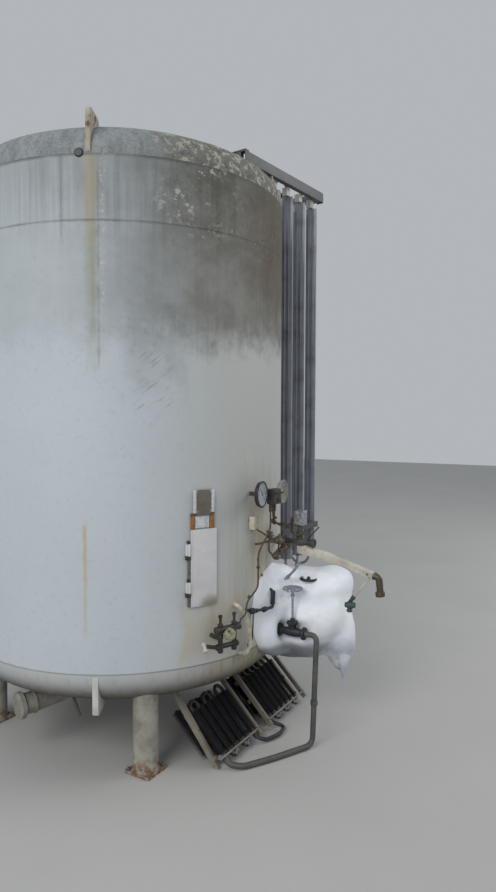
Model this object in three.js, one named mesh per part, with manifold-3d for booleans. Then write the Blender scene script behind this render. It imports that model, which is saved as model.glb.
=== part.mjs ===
// Low-pressure cryogenic storage tank: a vacuum-jacketed vessel on four pipe legs, with a star-fin
// vaporiser bank hung at its right shoulder, two finned pressure-raising coils under its belly and
// the filling, gauge and liquid-draw pipework on its front, one corner of it buried in ice.
// Millimetres, +Z up. Origin: on the ground, under the centre of the jacket. -Y is the front.

import * as THREE from 'three';
import { mergeVertices } from 'three/addons/utils/BufferGeometryUtils.js';
import Module from 'manifold-3d';

const wasm = await Module();
wasm.setup();

// Driving dimensions of the jacket
const GAP = 0.3;
const JACKET_RADIUS = 1200;
const JACKET_WALL = 10;
const JACKET_SIDES = 60;
const SEAM_TOP = 3941;
const SEAM_COURSE = 3538;
const SEAM_BOTTOM = 714;
const CROWN_RADIUS = 2400;
const TOP_HEAD = { tangent: 3960, knuckle: 200, seam: SEAM_TOP, up: 1 };
const BOTTOM_HEAD = { tangent: 695, knuckle: 200, seam: SEAM_BOTTOM, up: -1 };

// Legs and lugs
const LEG_CIRCLE = 1045;
const LEG_RADIUS = 84;
const LEG_WALL = 11;
const LEG_AZIMUTHS = { front_left: -45, front_right: 45, rear_right: 135, rear_left: -135 };
const PLATE_SIDE = 200;
const PLATE_THICK = 20;
const LIFT_LUG = { azimuth: -61.7, inner: 995, outer: 1210, top: 4222, thick: 30 };
const LIFT_EYE = { radius: 1085, z: 4184, bore: 22 };
const PORT = { cover: [-1033, 122, 353], way: [-0.944, 0.326, -0.05], radius: 92 };
const TIE_LUG = { azimuth: -60.8, inner: 1000, outer: 1200, bottom: 447, thick: 38 };

// Vaporiser bank: its front rail starts over the head and runs out to the right
const BANK_START = [483, -748];
const BANK_TURN = -5.75;
const RAIL_LENGTH = 1235;
const RAIL_TOP = 4453;
const RAIL_HEIGHT = 85;
const RAIL_DEPTH = 50;
const RAIL_PLATE = 6;
const TUBE_PITCH = 207;
const TUBE_FIRST = 537;
const TUBE_BEHIND_RAIL = 52;
const TUBE_FOOT = 1050;
const TUBE_HEAD = 4297;
const FIN_TIP = 52;
const FIN_ROOT = 17;
const FIN_THICK = 5;
const FIN_COUNT = 8;
const BEND_PIPE = 13.5;
const HANGER = { side: 52, behindRail: 52, shift: -30 };

// Pressure-raising coils under the belly
const COIL_SLOPE = 45;
const COIL_FOOT = { y: -1150, z: 78 };
const COIL_RUN = 350;
const COIL_FIN = 30;
const COIL_LEFT = { first: -440, pitch: 78, count: 6, barLeft: -500, barRight: 0 };
const COIL_RIGHT = { first: 205, pitch: 74, count: 7, barLeft: 160, barRight: 745 };
const BAR = { wide: 24, deep: 72, lift: -6 };

// Front pipework
const VALVE = { x: 150, y: -1373, z: 785 };
const WHEEL = { z: 1100, radius: 76, rim: 10 };
const RISER_RADIUS = 20;
const STEM_Y = -1385;
const ACTUATOR = { half: 40, low: 1548, high: 1660 };
const ARM_WIDTH = 50;
const FILL = { x: 250, z: 1425, end: -1500, radius: 21 };
const GAUGE_FACE = -1330;
const GAUGE_DEPTH = 30;
const GAUGE_TURN = 6;
const GAUGE_BOSS = 20;
const CONTENTS_GAUGE = { x: -221, z: 1818, radius: 90 };
const PRESSURE_GAUGE = { x: 89, z: 1808, radius: 84 };
const MANIFOLD = { azimuth: -19.5, radius: 1300, z: 945 };
const SIGN_AZIMUTH = -27.3;

// Finishes
const paint = new THREE.MeshStandardMaterial({ color: 0xa9adb1, roughness: 0.6, metalness: 0.1 });
const wornPaint = new THREE.MeshStandardMaterial({ color: 0x9b978c, roughness: 0.8, metalness: 0.1 });
const darkSteel = new THREE.MeshStandardMaterial({ color: 0x33363a, roughness: 0.6, metalness: 0.6 });
const aluminium = new THREE.MeshStandardMaterial({ color: 0x6c6f78, roughness: 0.5, metalness: 0.8 });
const whitePaint = new THREE.MeshStandardMaterial({ color: 0xd8d6cc, roughness: 0.6, metalness: 0.0 });
const rustySteel = new THREE.MeshStandardMaterial({ color: 0x7c6a55, roughness: 0.9, metalness: 0.3 });
const ice = new THREE.MeshStandardMaterial({ color: 0xeaf0f8, roughness: 0.35, metalness: 0.0 });
const blackPaint = new THREE.MeshStandardMaterial({ color: 0x1b1c1e, roughness: 0.5, metalness: 0.2 });
const brass = new THREE.MeshStandardMaterial({ color: 0x6f6a4a, roughness: 0.5, metalness: 0.7 });

const radians = THREE.MathUtils.degToRad;
const tank = new THREE.Group();

// Places a finished shape in the tank under its own name
function piece(name, shape, material) {
  const geometry = shape.isBufferGeometry ? shape : surface(shape);
  const mesh = new THREE.Mesh(geometry, material);
  mesh.name = name;
  tank.add(mesh);
  return mesh;
}

// A closed shape as a solid that can be joined and cut
function solid(geometry) {
  const bare = geometry.clone();
  bare.deleteAttribute('normal');
  bare.deleteAttribute('uv');
  const merged = mergeVertices(bare, 1e-3);
  const corners = merged.index.array;
  const kept = [];
  for (let i = 0; i < corners.length; i += 3) {
    const [a, b, c] = [corners[i], corners[i + 1], corners[i + 2]];
    if (a !== b && b !== c && c !== a) kept.push(a, b, c);
  }
  return new wasm.Manifold(new wasm.Mesh({
    numProp: 3,
    vertProperties: new Float32Array(merged.attributes.position.array),
    triVerts: new Uint32Array(kept),
  }));
}

function surface(shape) {
  const mesh = shape.getMesh();
  const geometry = new THREE.BufferGeometry();
  geometry.setAttribute('position', new THREE.BufferAttribute(mesh.vertProperties, 3));
  geometry.setIndex(new THREE.BufferAttribute(mesh.triVerts, 1));
  return geometry;
}

function join(...shapes) {
  return shapes.map((shape) => (shape.isBufferGeometry ? solid(shape) : shape))
    .reduce((whole, shape) => whole.add(shape));
}

// A point at a radius and azimuth, counted from the front towards the right
function around(radius, azimuth, z) {
  const angle = radians(azimuth);
  return [radius * Math.sin(angle), -radius * Math.cos(angle), z];
}

function block(low, high) {
  const size = high.map((value, i) => value - low[i]);
  const geometry = new THREE.BoxGeometry(...size);
  return geometry.translate(...low.map((value, i) => value + size[i] / 2));
}

function rod(from, to, radius, sides = 16, endRadius = radius) {
  const start = new THREE.Vector3(...from);
  const end = new THREE.Vector3(...to);
  const along = end.clone().sub(start);
  const geometry = new THREE.CylinderGeometry(endRadius, radius, along.length(), sides);
  const turn = new THREE.Quaternion().setFromUnitVectors(new THREE.Vector3(0, 1, 0), along.normalize());
  geometry.applyQuaternion(turn);
  return geometry.translate(...start.add(end).multiplyScalar(0.5).toArray());
}

// Straight runs joined by round bends, as one route for a pipe
class Route extends THREE.Curve {
  constructor(corners, bend, bendSteps = 3) {
    super();
    const points = corners.map((corner) => new THREE.Vector3(...corner));
    this.stops = [points[0]];
    for (let i = 1; i < points.length - 1; i += 1) {
      const back = points[i - 1].clone().sub(points[i]).normalize();
      const ahead = points[i + 1].clone().sub(points[i]).normalize();
      const reach = bend / Math.tan(back.angleTo(ahead) / 2);
      const turn = new THREE.QuadraticBezierCurve3(
        points[i].clone().addScaledVector(back, reach),
        points[i],
        points[i].clone().addScaledVector(ahead, reach),
      );
      this.stops.push(...turn.getPoints(bendSteps));
    }
    this.stops.push(points[points.length - 1]);
  }

  getUtoTmapping(u) {
    return u;
  }

  getPoint(t) {
    const place = Math.min(Math.max(t, 0), 1) * (this.stops.length - 1);
    const index = Math.min(Math.floor(place), this.stops.length - 2);
    return this.stops[index].clone().lerp(this.stops[index + 1], place - index);
  }
}

function pipe(corners, radius, bend, sides = 10) {
  const route = new Route(corners, bend);
  const section = new THREE.Shape();
  section.absarc(0, 0, radius, 0, 2 * Math.PI);
  return new THREE.ExtrudeGeometry(section, {
    extrudePath: route,
    steps: route.stops.length - 1,
    curveSegments: sides / 2,
  });
}

// A flat outline in the radius-height plane, as a plate standing on the given azimuth
function radialPlate(outline, thick, azimuth) {
  const plate = new THREE.ExtrudeGeometry(outline, { depth: thick, bevelEnabled: false, curveSegments: 10 });
  plate.translate(0, 0, -thick / 2);
  plate.rotateX(Math.PI / 2);
  plate.rotateZ(radians(azimuth - 90));
  return plate;
}

// Dished end: an arc of the crown, a tight knuckle and a short straight flange
function headArc(head, radius, offset, knuckleSteps = 4, crownSteps = 3) {
  const knuckle = head.knuckle + offset;
  const crown = CROWN_RADIUS + offset;
  const reach = radius - knuckle;
  const crownAngle = Math.asin(reach / (crown - knuckle));
  const drop = (crown - knuckle) * Math.cos(crownAngle);
  const points = [];
  for (let i = 0; i <= knuckleSteps; i += 1) {
    const angle = (i / knuckleSteps) * (Math.PI / 2 - crownAngle);
    points.push([reach + knuckle * Math.cos(angle), knuckle * Math.sin(angle)]);
  }
  for (let i = 1; i <= crownSteps; i += 1) {
    const angle = crownAngle * (1 - i / crownSteps);
    points.push([crown * Math.sin(angle), crown * Math.cos(angle) - drop]);
  }
  return points.map(([r, h]) => new THREE.Vector2(Math.max(r, 0), head.tangent + head.up * h));
}

function lathe(profile, sides = JACKET_SIDES) {
  return solid(new THREE.LatheGeometry(profile, sides).rotateX(Math.PI / 2));
}

function headShell(head) {
  const outer = headArc(head, JACKET_RADIUS, 0);
  const inner = headArc(head, JACKET_RADIUS - JACKET_WALL, -JACKET_WALL, 2, 2);
  const rim = [
    new THREE.Vector2(JACKET_RADIUS - JACKET_WALL, head.seam),
    new THREE.Vector2(JACKET_RADIUS, head.seam),
  ];
  const profile = [...inner.reverse(), ...rim, ...outer];
  return lathe(head.up > 0 ? profile : profile.reverse());
}

// The jacket's outer form with a margin, to cut what meets it
function jacketForm(margin) {
  const top = headArc(TOP_HEAD, JACKET_RADIUS + margin, margin);
  const bottom = headArc(BOTTOM_HEAD, JACKET_RADIUS + margin, margin).reverse();
  return lathe([...bottom, ...top]);
}

const jacketCut = jacketForm(GAP);

function course(low, high) {
  const inner = JACKET_RADIUS - JACKET_WALL;
  const corners = [[inner, low], [JACKET_RADIUS, low], [JACKET_RADIUS, high], [inner, high], [inner, low]];
  return lathe(corners.map(([r, z]) => new THREE.Vector2(r, z)));
}

piece('shell_course_lower', course(SEAM_BOTTOM + GAP, SEAM_COURSE - GAP), paint);
piece('shell_course_upper', course(SEAM_COURSE, SEAM_TOP - GAP), paint);
piece('top_head', headShell(TOP_HEAD), wornPaint);
piece('bottom_head', headShell(BOTTOM_HEAD), paint);

// Four pipe legs, each welded to a square base plate and fitted to the belly
for (const [corner, azimuth] of Object.entries(LEG_AZIMUTHS)) {
  const [x, y] = around(LEG_CIRCLE, azimuth, 0);
  const half = PLATE_SIDE / 2;
  const bore = rod([x, y, PLATE_THICK], [x, y, SEAM_BOTTOM], LEG_RADIUS - LEG_WALL, 28);
  const leg = solid(rod([x, y, PLATE_THICK - 1], [x, y, SEAM_BOTTOM], LEG_RADIUS, 28)).subtract(solid(bore));
  const plate = block([x - half, y - half, 0], [x + half, y + half, PLATE_THICK]);
  piece(`leg_${corner}`, join(leg, plate).subtract(jacketCut), wornPaint);
}

// Lifting lugs on the top knuckle and tie-down lugs on the bottom one
const corner = 40;
const liftOutline = new THREE.Shape();
liftOutline.moveTo(LIFT_LUG.outer, SEAM_TOP);
liftOutline.lineTo(LIFT_LUG.outer, LIFT_LUG.top - corner);
liftOutline.absarc(LIFT_LUG.outer - corner, LIFT_LUG.top - corner, corner, 0, Math.PI / 2);
liftOutline.absarc(LIFT_LUG.inner + corner, LIFT_LUG.top - corner, corner, Math.PI / 2, Math.PI);
liftOutline.lineTo(LIFT_LUG.inner, SEAM_TOP);
const liftHole = new THREE.Path();
liftHole.absarc(LIFT_EYE.radius, LIFT_EYE.z, LIFT_EYE.bore, 0, 2 * Math.PI);
liftOutline.holes.push(liftHole);

const tieOutline = new THREE.Shape();
tieOutline.moveTo(TIE_LUG.inner, SEAM_BOTTOM);
tieOutline.lineTo(TIE_LUG.inner, TIE_LUG.bottom + corner);
tieOutline.lineTo(TIE_LUG.inner + corner / 2, TIE_LUG.bottom);
tieOutline.lineTo(TIE_LUG.outer - corner / 2, TIE_LUG.bottom);
tieOutline.lineTo(TIE_LUG.outer, TIE_LUG.bottom + corner / 2);
tieOutline.lineTo(TIE_LUG.outer, SEAM_BOTTOM);

for (const [side, turn] of [['left', 0], ['right', 180]]) {
  const lift = solid(radialPlate(liftOutline, LIFT_LUG.thick, LIFT_LUG.azimuth + turn));
  const tie = solid(radialPlate(tieOutline, TIE_LUG.thick, TIE_LUG.azimuth + turn));
  piece(`lifting_lug_${side}`, lift.subtract(jacketCut), paint);
  piece(`tie_lug_${side}`, tie.subtract(jacketCut), paint);
}

// Evacuation port under the belly, with its round cover, and a thin purge tube
const portBack = (far) => PORT.cover.map((value, i) => value - far * PORT.way[i]);
const port = join(
  rod(portBack(450), portBack(20 + GAP), 60, 24),
  rod(portBack(100), portBack(88), 70, 24),
);
piece('evacuation_port', port.subtract(jacketCut), paint);
piece('evacuation_cover', rod(portBack(20), portBack(-18), PORT.radius, 28), paint);
const purge = solid(rod([-1000, -333, 530], [-977, -384, 375], 11, 10));
piece('purge_tube', purge.subtract(jacketCut), darkSteel);

// Vaporiser bank, in its own frame: x along the rail, y to the back
const bank = new THREE.Group();
bank.position.set(...BANK_START, 0);
bank.rotation.z = radians(BANK_TURN);
tank.add(bank);

function bankPiece(name, shape, material) {
  bank.add(piece(name, shape, material));
}

// The same jacket form, seen from the bank's own frame
const bankCut = jacketCut.translate([-BANK_START[0], -BANK_START[1], 0]).rotate([0, 0, -BANK_TURN]);

function railSection() {
  const [depth, height, plate] = [RAIL_DEPTH, RAIL_HEIGHT, RAIL_PLATE];
  const outline = [[0, 0], [depth, 0], [depth, plate], [plate, plate],
    [plate, height - plate], [depth, height - plate], [depth, height], [0, height]];
  return new THREE.Shape(outline.map(([x, y]) => new THREE.Vector2(x, y)));
}

const REAR_RAIL = TUBE_PITCH + 2 * TUBE_BEHIND_RAIL;
const railFoot = RAIL_TOP - RAIL_HEIGHT;

function rail(facing) {
  const bar = new THREE.ExtrudeGeometry(railSection(), { depth: RAIL_LENGTH, bevelEnabled: false });
  bar.rotateX(Math.PI / 2);
  bar.rotateZ(Math.PI / 2);
  bar.translate(0, -RAIL_DEPTH / 2, railFoot);
  if (facing < 0) bar.rotateZ(Math.PI).translate(RAIL_LENGTH, 0, 0);
  return bar;
}

// The block on a tube's head that carries it under its rail
function hanger(tubeX, y) {
  const x = tubeX + HANGER.shift;
  const half = HANGER.side / 2;
  return block([x - half, y - half, TUBE_HEAD - 1], [x + half, y + half, railFoot - GAP]);
}

const frontTubes = [0, 1, 2, 3].map((k) => TUBE_FIRST + k * TUBE_PITCH);
const rearTubes = frontTubes.slice(1);
bankPiece('vaporiser_rail_front', rail(1), darkSteel);
bankPiece('vaporiser_rail_rear', solid(rail(-1).translate(0, REAR_RAIL, 0)).subtract(bankCut), darkSteel);

const tieLow = RAIL_DEPTH / 2 + GAP;
const tieHigh = REAR_RAIL - tieLow;
const tieBar = block([0, -25, RAIL_TOP + GAP], [50, REAR_RAIL + 25, RAIL_TOP + 12]);
const tieWeb = block([0, tieLow, RAIL_TOP - 40], [50, tieHigh, RAIL_TOP + 5]);
const headFoot = block([0, tieLow, 4100], [50, tieLow + 40, RAIL_TOP + 5]);
bankPiece('vaporiser_tie_left', join(tieBar, tieWeb, headFoot).subtract(bankCut), darkSteel);
const endPlate = block([RAIL_LENGTH + GAP, -25, railFoot - 6], [RAIL_LENGTH + 12, 40, RAIL_TOP - 8]);
const endTie = block([RAIL_LENGTH - 50, tieLow, railFoot + 8], [RAIL_LENGTH + 12, tieHigh, RAIL_TOP - 8]);
bankPiece('vaporiser_tie_right', join(endPlate, endTie), darkSteel);
const shoulder = block([385, -20, 3940], [400, 25, railFoot - GAP]);
bankPiece('vaporiser_shoulder_bracket', solid(shoulder).subtract(bankCut), paint);

// One star-fin extrusion: a hub with thin radial fins, all its length
function finnedTube(x, y) {
  const outline = new THREE.Shape();
  const half = FIN_THICK / 2;
  for (let k = 0; k < FIN_COUNT; k += 1) {
    const angle = (k / FIN_COUNT) * 2 * Math.PI;
    for (const [radial, across] of [[FIN_ROOT, -half], [FIN_TIP, -half], [FIN_TIP, half], [FIN_ROOT, half]]) {
      const px = radial * Math.cos(angle) - across * Math.sin(angle);
      const py = radial * Math.sin(angle) + across * Math.cos(angle);
      if (k === 0 && across === -half && radial === FIN_ROOT) outline.moveTo(px, py);
      else outline.lineTo(px, py);
    }
  }
  outline.closePath();
  const bar = new THREE.ExtrudeGeometry(outline, { depth: TUBE_HEAD - TUBE_FOOT, bevelEnabled: false });
  return bar.translate(x, y, TUBE_FOOT);
}

// A half-round pipe that joins two neighbouring tubes at their top or bottom ends
function returnBend(from, to, z, up) {
  const reach = Math.hypot(to[0] - from[0], to[1] - from[1]) / 2;
  const top = z + up * (20 + reach);
  return pipe([[...from, z - up * 8], [...from, top], [...to, top], [...to, z - up * 8]], BEND_PIPE, reach - 1);
}

const frontRow = frontTubes.map((x) => [x, TUBE_BEHIND_RAIL]);
const rearRow = rearTubes.map((x) => [x, TUBE_BEHIND_RAIL + TUBE_PITCH]);
bankPiece('vaporiser_tubes_front', join(
  ...frontRow.map(([x, y]) => finnedTube(x, y)),
  ...frontRow.map(([x]) => hanger(x, HANGER.behindRail)),
  returnBend(frontRow[0], frontRow[1], TUBE_HEAD, 1),
  returnBend(frontRow[1], frontRow[2], TUBE_FOOT, -1),
  returnBend(frontRow[2], frontRow[3], TUBE_HEAD, 1),
), aluminium);
const crossover = pipe([[...frontRow[3], TUBE_FOOT - GAP], [...frontRow[3], TUBE_FOOT - 124],
  [...rearRow[2], TUBE_FOOT - 124], [...rearRow[2], TUBE_FOOT + 8]], BEND_PIPE, TUBE_PITCH / 2 - 1);
bankPiece('vaporiser_tubes_rear', join(
  ...rearRow.map(([x, y]) => finnedTube(x, y)),
  ...rearRow.map(([x]) => hanger(x, REAR_RAIL - HANGER.behindRail)),
  crossover,
  returnBend(rearRow[2], rearRow[1], TUBE_HEAD, 1),
  returnBend(rearRow[1], rearRow[0], TUBE_FOOT, -1),
  rod([...rearRow[0], TUBE_HEAD - 8], [...rearRow[0], TUBE_HEAD + 60], BEND_PIPE),
  rod([...rearRow[0], TUBE_HEAD + 50], [...rearRow[0], TUBE_HEAD + 75], 18),
), aluminium);

// Two flat bars steady the lower ends and run back to the jacket
const barNear = TUBE_BEHIND_RAIL - FIN_TIP - GAP;
const barFar = TUBE_BEHIND_RAIL + TUBE_PITCH + FIN_TIP + GAP;
const lowerFront = block([300, barNear - 10, 1290], [RAIL_LENGTH - 20, barNear, 1345]);
const lowerRear = block([300, barFar, 1290], [RAIL_LENGTH - 20, barFar + 10, 1345]);
bankPiece('vaporiser_bar_front', solid(lowerFront).subtract(bankCut), darkSteel);
bankPiece('vaporiser_bar_rear', solid(lowerRear).subtract(bankCut), darkSteel);

// Pressure-raising coils: finned runs that climb at 45 degrees from near the ground to the belly
const climb = radians(COIL_SLOPE);

function onSlope(x, along, lift = 0) {
  return [
    x,
    COIL_FOOT.y + along * Math.cos(climb) - lift * Math.sin(climb),
    COIL_FOOT.z + along * Math.sin(climb) + lift * Math.cos(climb),
  ];
}

function coilBend(from, to, along, direction) {
  const reach = Math.abs(to - from) / 2;
  const far = along + direction * (12 + reach);
  const corners = [onSlope(from, along - direction * 20), onSlope(from, far),
    onSlope(to, far), onSlope(to, along - direction * 20)];
  return pipe(corners, BEND_PIPE, reach - 1, 8);
}

function coilTubes(coil) {
  const places = Array.from({ length: coil.count }, (_, k) => coil.first + k * coil.pitch);
  const parts = places.map((x) => rod(onSlope(x, 0), onSlope(x, COIL_RUN), COIL_FIN, 10));
  for (let k = 0; k + 1 < coil.count; k += 1) {
    const atTop = k % 2 === 0;
    parts.push(coilBend(places[k], places[k + 1], atTop ? COIL_RUN : 0, atTop ? 1 : -1));
  }
  return parts;
}

// A straight flat bar lying along the slope on edge, or across it under the tubes
function slopeBar(x) {
  const [low, high] = [-40, 700];
  const bar = new THREE.BoxGeometry(BAR.wide, high - low, BAR.deep);
  bar.rotateX(climb);
  return bar.translate(...onSlope(x, (low + high) / 2, BAR.lift));
}

function crossBar(coil, along, lift, thick) {
  const bar = new THREE.BoxGeometry(coil.barRight - coil.barLeft, thick, 12);
  bar.rotateX(climb);
  return bar.translate(...onSlope((coil.barLeft + coil.barRight) / 2, along, lift));
}

function coilFrame(coil, bars) {
  const under = -COIL_FIN - GAP - 6;
  const frame = join(
    ...bars.map((x) => slopeBar(x)),
    crossBar(coil, 14, under, 30),
    crossBar(coil, 175, under, 30),
    crossBar(coil, COIL_RUN - 14, under, 30),
  );
  const ground = block([-2000, -2000, -400], [2000, 2000, 0]);
  const aboveFloor = frame.subtract(solid(ground)).subtract(jacketCut);
  const leg = rod(around(LEG_CIRCLE, 45, -10), around(LEG_CIRCLE, 45, 700), LEG_RADIUS + GAP, 28);
  const reach = solid(block([-1500, -3000, -10], [1500, -720, 3000]));
  return aboveFloor.subtract(solid(leg)).intersect(reach);
}

// The left coil also leans on a prop that stands on the ground and ends at the belly
const prop = solid(rod([-475, -1133, -12], [-541, -570, 800], 26, 4)).subtract(jacketCut);
const groundCut = solid(block([-2000, -2000, -400], [2000, 2000, 0]));
const leftFrame = join(coilFrame(COIL_LEFT, [COIL_LEFT.barRight]), prop.subtract(groundCut));
piece('coil_left_frame', leftFrame, wornPaint);
piece('coil_right_frame', coilFrame(COIL_RIGHT, [COIL_RIGHT.barLeft, COIL_RIGHT.barRight]), wornPaint);
piece('coil_left_tubes', join(...coilTubes(COIL_LEFT)), aluminium);

const linkStart = COIL_LEFT.first + (COIL_LEFT.count - 1) * COIL_LEFT.pitch;
const link = pipe([onSlope(linkStart, -GAP), onSlope(linkStart, -42), [-34, -1251, 30], [103, -1301, 30],
  [222, -1278, 30], onSlope(COIL_RIGHT.first, -42), onSlope(COIL_RIGHT.first, 20)], BEND_PIPE, 16, 10);
const lastRun = COIL_RIGHT.first + (COIL_RIGHT.count - 1) * COIL_RIGHT.pitch;
const outlet = rod(onSlope(lastRun, COIL_RUN - 10), onSlope(lastRun - 60, 620), BEND_PIPE, 10);

const rightCoil = join(...coilTubes(COIL_RIGHT), link, outlet);
piece('coil_right_tubes', rightCoil.subtract(jacketCut), aluminium);

// Liquid draw valve: a stub from the jacket, the valve body and its tall spindle with a handwheel
function drawValve(grow) {
  const { x, y, z } = VALVE;
  return join(
    rod([x, -1150, z], [x, -1300, z], 21 + grow, 16),
    rod([x, -1262, z], [x, -1475 - grow, z], 30 + grow, 16),
    rod([x, -1262, z], [x, -1280, z], 46 + grow, 16),
    rod([x, -1457, z], [x, -1475 - grow, z], 46 + grow, 16),
    rod([x, y, z], [x, y, z + 82 + grow], 30 + grow, 16),
    rod([x, y, z + 60], [x, y, z + 72 + grow], 42 + grow, 16),
    rod([x, y, z + 80], [x, y, z + 98 + grow], 16 + grow, 12),
  );
}

piece('draw_valve', drawValve(0).subtract(jacketCut), darkSteel);

const rim = new THREE.TorusGeometry(WHEEL.radius - WHEEL.rim, WHEEL.rim, 6, 20);
rim.translate(VALVE.x, VALVE.y, WHEEL.z);
const spokes = [0, 45, 90, 135].map((angle) => {
  const reach = WHEEL.radius - WHEEL.rim;
  const [dx, dy] = [reach * Math.cos(radians(angle)), reach * Math.sin(radians(angle))];
  return rod([VALVE.x - dx, VALVE.y - dy, WHEEL.z], [VALVE.x + dx, VALVE.y + dy, WHEEL.z], 6, 8);
});
piece('draw_valve_handwheel', join(
  rim,
  ...spokes,
  rod([VALVE.x, VALVE.y, VALVE.z + 98 + GAP], [VALVE.x, VALVE.y, WHEEL.z + 22], 8, 12),
  rod([VALVE.x, VALVE.y, WHEEL.z - 62], [VALVE.x, VALVE.y, WHEEL.z - 42], 15, 12),
  rod([VALVE.x, VALVE.y, WHEEL.z - 14], [VALVE.x, VALVE.y, WHEEL.z + 14], 20, 12),
), whitePaint);

// Riser from the valve down to the ground and along it to the left coil
const riserRoute = [[VALVE.x, -1475 - GAP, VALVE.z], [VALVE.x, -1565, VALVE.z], [88, -1566, 24],
  [-208, -1416, 24], [-415, -1290, 24], onSlope(COIL_LEFT.first, -70), onSlope(COIL_LEFT.first, -GAP)];
piece('riser_pipe', join(
  pipe(riserRoute, RISER_RADIUS, 42, 12),
  rod([113, -1565.6, 330], [111, -1565.6, 305], 28, 14),
), darkSteel);

// Fill line: a short pipe from the jacket with a valve, a square actuator and a pale arm below it
piece('fill_line', join(
  rod([FILL.x, -1100, FILL.z], [FILL.x, FILL.end, FILL.z], FILL.radius, 16),
  rod([FILL.x, FILL.end + 24, FILL.z], [FILL.x, FILL.end, FILL.z], 32, 16),
  rod([FILL.x, -1260, FILL.z], [FILL.x, -1278, FILL.z], 34, 16),
  rod([FILL.x, STEM_Y, FILL.z], [FILL.x, STEM_Y, ACTUATOR.low - GAP], 22, 14),
  rod([FILL.x, STEM_Y, 1478], [FILL.x, STEM_Y, 1500], 31, 14),
  rod([FILL.x, -1435, FILL.z], [FILL.x, -1532, 1548], 6, 8),
).subtract(jacketCut), darkSteel);
const boxSide = ACTUATOR.half;
piece('actuator_box', block(
  [FILL.x - boxSide, STEM_Y - boxSide, ACTUATOR.low],
  [FILL.x + boxSide, STEM_Y + boxSide, ACTUATOR.high],
), aluminium);

// The pale arm: a side outline in depth and height, bent down a little towards its end
const armOutline = new THREE.Shape([[1366, 1402], [1366, 1345], [1666, 1298], [1940, 1226],
  [1950, 1264], [1610, 1367]].map(([out, z]) => new THREE.Vector2(out, z)));
const armBar = new THREE.ExtrudeGeometry(armOutline, { depth: ARM_WIDTH, bevelEnabled: false });
armBar.rotateX(Math.PI / 2).rotateZ(-Math.PI / 2).translate(FILL.x + ARM_WIDTH / 2, 0, 0);
const armEnd = new THREE.Vector3(FILL.x, -1945, 1245);
const armWay = new THREE.Vector3(0, -0.967, -0.2545);
const dropTop = new THREE.Vector3(FILL.x, -1930, 1241);
const dropFoot = new THREE.Vector3(FILL.x, -1808, 1083);
const dropWay = dropFoot.clone().sub(dropTop).normalize();
piece('fill_arm', join(
  armBar,
  block([235, -1440, 1375], [265, -1400, FILL.z - FILL.radius - GAP]),
  rod(dropTop.toArray(), dropFoot.toArray(), 7, 8),
), whitePaint);

const couplingStart = armEnd.clone().addScaledVector(armWay, GAP);
const couplingTurn = armEnd.clone().addScaledVector(armWay, 40);
piece('fill_coupling', join(
  pipe([couplingStart.toArray(), couplingTurn.toArray(), [FILL.x, -1998, 1110]], 24, 16),
  rod([FILL.x, -1991, 1140], [FILL.x, -1999, 1105], 33, 14),
), brass);
const valveTop = dropFoot.clone().addScaledVector(dropWay, GAP);
const valveNeck = dropFoot.clone().addScaledVector(dropWay, 62);
piece('hose_valve', join(
  rod(valveTop.toArray(), valveNeck.toArray(), 16, 10),
  rod([FILL.x, -1740, 1012], [FILL.x, -1812, 1018], 26, 14),
  rod([FILL.x, -1775, 1015], [FILL.x, -1770, 965], 20, 12),
), darkSteel);

// Two dial gauges on a bar, with the valve block between them
const [facingX, facingY] = around(1, GAUGE_TURN, 0);
const gaugeBack = GAUGE_FACE - GAUGE_DEPTH * facingY + CONTENTS_GAUGE.radius * facingX;
const bossReach = (GAUGE_FACE - gaugeBack + GAUGE_BOSS * facingX) / facingY;
for (const [name, gauge] of [['contents_gauge', CONTENTS_GAUGE], ['pressure_gauge', PRESSURE_GAUGE]]) {
  const at = (back) => [gauge.x - back * facingX, GAUGE_FACE - back * facingY, gauge.z];
  piece(name, join(
    rod(at(GAUGE_DEPTH), at(12), gauge.radius - 6, 32),
    rod(at(13), at(0), gauge.radius, 32),
    rod(at(GAUGE_DEPTH - 1), at(bossReach), GAUGE_BOSS, 16),
  ), blackPaint);
}
const barFront = gaugeBack + GAP;
piece('gauge_bar', join(
  block([-230, barFront, 1785], [140, barFront + 8, 1835]),
  block([-165, barFront + 4, 1795], [-155, -1100, 1825]),
  block([60, barFront + 4, 1795], [70, -1100, 1825]),
).subtract(jacketCut), darkSteel);
piece('gauge_block', join(
  block([-95, barFront - GAP - 62, 1735], [0, barFront - GAP, 1840]),
  rod([-75, -1310, 1700], [-75, -1310, 1740], 12, 10),
  rod([-20, -1310, 1700], [-20, -1310, 1740], 12, 10),
), darkSteel);
piece('gauge_lines', join(
  pipe([[-20, -1310, 1700 - GAP], [-20, -1310, 1600], [150, -1330, 1560], [180, STEM_Y, 1482],
    [218.4, STEM_Y, 1482]], 6, 20, 8),
  rod([70, -1327, 1501], [70, -1327, 1618], 11, 10),
  rod([140, -1329, 1561], [219, -1329, 1561], 6, 8),
  rod([219, -1329, 1494], [219, -1329, 1642], 11, 10),
), darkSteel);
piece('impulse_line', pipe([[-75, -1310, 1700 - GAP], [-75, -1310, 1560], [-150, -1255, 1400],
  [-150, -1255, 1160], [-250, -1225, 1080], [-300, -1262, 970]], 6, 25, 8), darkSteel);
const pad = block([-170, -1235, 1560], [-104, -1100, 1650]);
piece('bracket_pad', solid(pad).subtract(jacketCut), whitePaint);

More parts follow.
